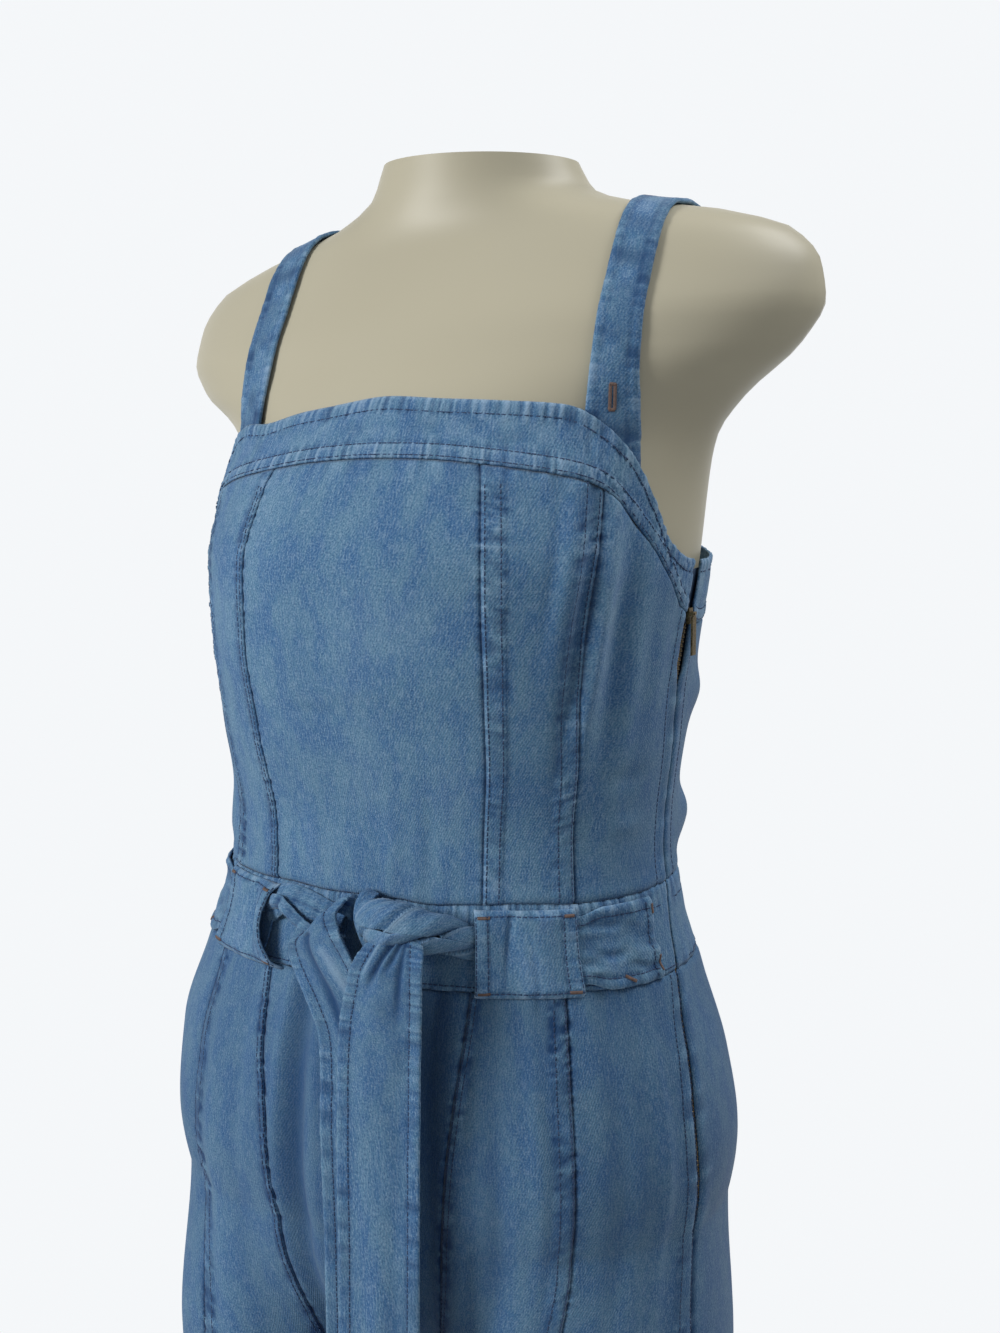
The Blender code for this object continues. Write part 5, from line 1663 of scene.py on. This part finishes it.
class OBJECT_OT_jumpsuit_form(bpy.types.Operator):
    """Shape the smooth dress form and finish its stand"""
    bl_idname = "object.jumpsuit_form"
    bl_label = "Form and stand"

    def execute(self, context):
        deselect()
        bpy.ops.mesh.primitive_uv_sphere_add(segments=96, ring_count=120, radius=1.0)
        obj = context.object
        obj.name = obj.data.name = "form_shell"
        mesh = obj.data
        co = np.empty(len(mesh.vertices) * 3)
        mesh.vertices.foreach_get("co", co)
        co = co.reshape(-1, 3)
        turn = np.degrees(np.arctan2(co[:, 0], -co[:, 1]))
        rank = 1 - np.arccos(np.clip(co[:, 2], -1, 1)) / np.pi
        points = form_points(turn, rank)
        mesh.vertices.foreach_set("co", points.ravel())
        mesh.update()
        mesh.materials.append(bpy.data.materials["satin sprayed glass fibre"])
        mesh.shade_smooth()
        mesh.set_sharp_from_angle(angle=math.radians(50.0))
        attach(obj, "jumpsuit")
        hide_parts("form_torso")
        for name in ("stand_pole", "stand_collar", "stand_base"):
            finish_node(name, "brushed stand steel")
        return {"FINISHED"}


def form_points(turn, rank):
    """Rank 0 is the middle of the underside, 0.06 its rim, 0.95 the rim of the neck, 1 its middle."""
    low, high = 0.06, 0.95
    foot, top = BODY[0][0], BODY[-1][0]
    inner = np.where(rank < low, rank / low, np.where(rank > high, (1 - rank) / (1 - high), 1.0))
    inner = np.clip(inner, 0, 1)
    middle = np.clip((rank - low) / (high - low), 0, 1)
    level = foot + middle * (top - foot)
    # Under the rims the skin closes towards the middle
    edge = body(turn, level, 0.0)
    centre = np.stack([curve(BODY, level, 1), (curve(BODY, level, 4) + curve(BODY, level, 5)) / 2,
                       level + 0.0 * turn], axis=-1)
    return centre + (edge - centre) * inner[:, None]


def finish_node(name, material):
    """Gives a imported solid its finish."""
    obj = bpy.data.objects[name]
    for slot in obj.material_slots:
        slot.material = bpy.data.materials[material]


class OBJECT_OT_jumpsuit_stage(bpy.types.Operator):
    """Set the floor, the soft light and the camera"""
    bl_idname = "object.jumpsuit_stage"
    bl_label = "Stage"

    def execute(self, context):
        deselect()
        thickness = 0.02
        bpy.ops.mesh.primitive_cylinder_add(vertices=128, radius=1.3, depth=thickness,
                                            location=(0.0, 0.0, -thickness / 2))
        bpy.ops.object.transform_apply(location=True, rotation=False, scale=False)
        floor = context.object
        floor.name = floor.data.name = "studio_floor"
        floor.data.materials.append(bpy.data.materials["matt studio floor"])
        world = bpy.data.worlds.new("studio")
        context.scene.world = world
        world.use_nodes = True
        bright_backdrop(world.node_tree)
        soft_light("key", (-1.7, -2.3, 2.2), 1.2, 66.0, (0.0, 0.0, 1.2))
        soft_light("fill", (2.6, -1.6, 1.6), 1.6, 2.0)
        soft_light("top", (1.2, 0.7, 3.0), 1.4, 32.0, (0.1, 0.0, 1.4))
        place_camera()
        context.scene.view_settings.view_transform = "Standard"
        return {"FINISHED"}


def bright_backdrop(tree):
    """White paper behind the form as the camera sees it, and a dim room elsewhere."""
    back = tree.nodes["Background"]
    back.inputs[0].default_value = (0.96, 0.98, 1.0, 1.0)
    where = add_node(tree, "ShaderNodeTexCoord").outputs["Generated"]
    behind = add_node(tree, "ShaderNodeVectorMath", {"operation": "DOT_PRODUCT"}, i0=where)
    behind.inputs[1].default_value = (-0.46, 0.88, -0.10)
    strength = add_node(tree, "ShaderNodeMapRange", {"interpolation_type": "SMOOTHSTEP"},
                        Value=behind.outputs["Value"], From_Min=0.72, From_Max=0.86, To_Min=0.24, To_Max=0.95)
    tree.links.new(strength.outputs[0], back.inputs[1])


def soft_light(name, place, size, power, aim=(0.0, 0.0, 1.05)):
    """A round lamp, its width in metres and its power in watts, aimed at a point."""
    bpy.ops.object.light_add(type="AREA", location=place)
    lamp = bpy.context.object
    lamp.name = name
    lamp.data.shape = "DISK"
    lamp.data.size = size
    lamp.data.energy = power
    lamp.rotation_euler = (Vector(aim) - Vector(place)).to_track_quat("-Z", "Y").to_euler()


def place_camera():
    """1.02 m from the body's upright line, 27 degrees to the wearer's left, 8 degrees down."""
    distance, azimuth, height, pitch = 1.02, math.radians(27.0), 1.32, math.radians(8.0)
    # The focal length in the photograph's pixels, and the pixel column of the body's upright line
    focal, axis_column, width, long_side = 1700.0, 452.0, 1000.0, 1333.0
    bpy.ops.object.camera_add(location=(distance * math.sin(azimuth), -distance * math.cos(azimuth), height))
    camera = bpy.context.object
    turn = math.atan((axis_column - width / 2) / focal)
    camera.rotation_euler = (math.pi / 2 - pitch, 0.0, azimuth + turn)
    camera.data.sensor_width = 36.0
    camera.data.sensor_fit = "AUTO"
    camera.data.lens = focal / long_side * 36.0
    bpy.context.scene.camera = camera


class VIEW3D_PT_jumpsuit(bpy.types.Panel):
    """Buttons for the pieces of the jumpsuit"""
    bl_label = "Denim jumpsuit"
    bl_space_type = "VIEW_3D"
    bl_region_type = "UI"
    bl_category = "Jumpsuit"

    def draw(self, context):
        layout = self.layout
        for step in STEPS:
            layout.operator(step.bl_idname)
        for group in (context.scene.jumpsuit_sizes, context.scene.jumpsuit_colours):
            box = layout.box()
            for key in group.bl_rna.properties.keys():
                if key not in ("rna_type", "name"):
                    box.prop(group, key)


STEPS = (
    OBJECT_OT_jumpsuit_finishes,
    OBJECT_OT_jumpsuit_form,
    OBJECT_OT_jumpsuit_bodice,
    OBJECT_OT_jumpsuit_waistband,
    OBJECT_OT_jumpsuit_trousers,
    OBJECT_OT_jumpsuit_bartacks,
    OBJECT_OT_jumpsuit_straps,
    OBJECT_OT_jumpsuit_carriers,
    OBJECT_OT_jumpsuit_sash,
    OBJECT_OT_jumpsuit_zip,
    OBJECT_OT_jumpsuit_stitching,
    OBJECT_OT_jumpsuit_stage,
)
CLASSES = (JumpsuitSizes, JumpsuitColours, *STEPS, VIEW3D_PT_jumpsuit)


def register():
    for made in CLASSES:
        bpy.utils.register_class(made)
    bpy.types.Scene.jumpsuit_sizes = bpy.props.PointerProperty(type=JumpsuitSizes)
    bpy.types.Scene.jumpsuit_colours = bpy.props.PointerProperty(type=JumpsuitColours)


def unregister():
    del bpy.types.Scene.jumpsuit_colours
    del bpy.types.Scene.jumpsuit_sizes
    for made in reversed(CLASSES):
        bpy.utils.unregister_class(made)


def main():
    register()
    bpy.ops.object.jumpsuit_finishes()
    bpy.ops.object.jumpsuit_form()
    bpy.ops.object.jumpsuit_bodice()
    bpy.ops.object.jumpsuit_waistband()
    bpy.ops.object.jumpsuit_trousers()
    # The buttonhole of the left strap is placed on the solid strap, which the next step replaces
    bpy.ops.object.jumpsuit_bartacks()
    bpy.ops.object.jumpsuit_straps()
    bpy.ops.object.jumpsuit_carriers()
    bpy.ops.object.jumpsuit_sash()
    bpy.ops.object.jumpsuit_zip()
    bpy.ops.object.jumpsuit_stitching()
    bpy.ops.object.jumpsuit_stage()


if __name__ == "__main__":
    main()
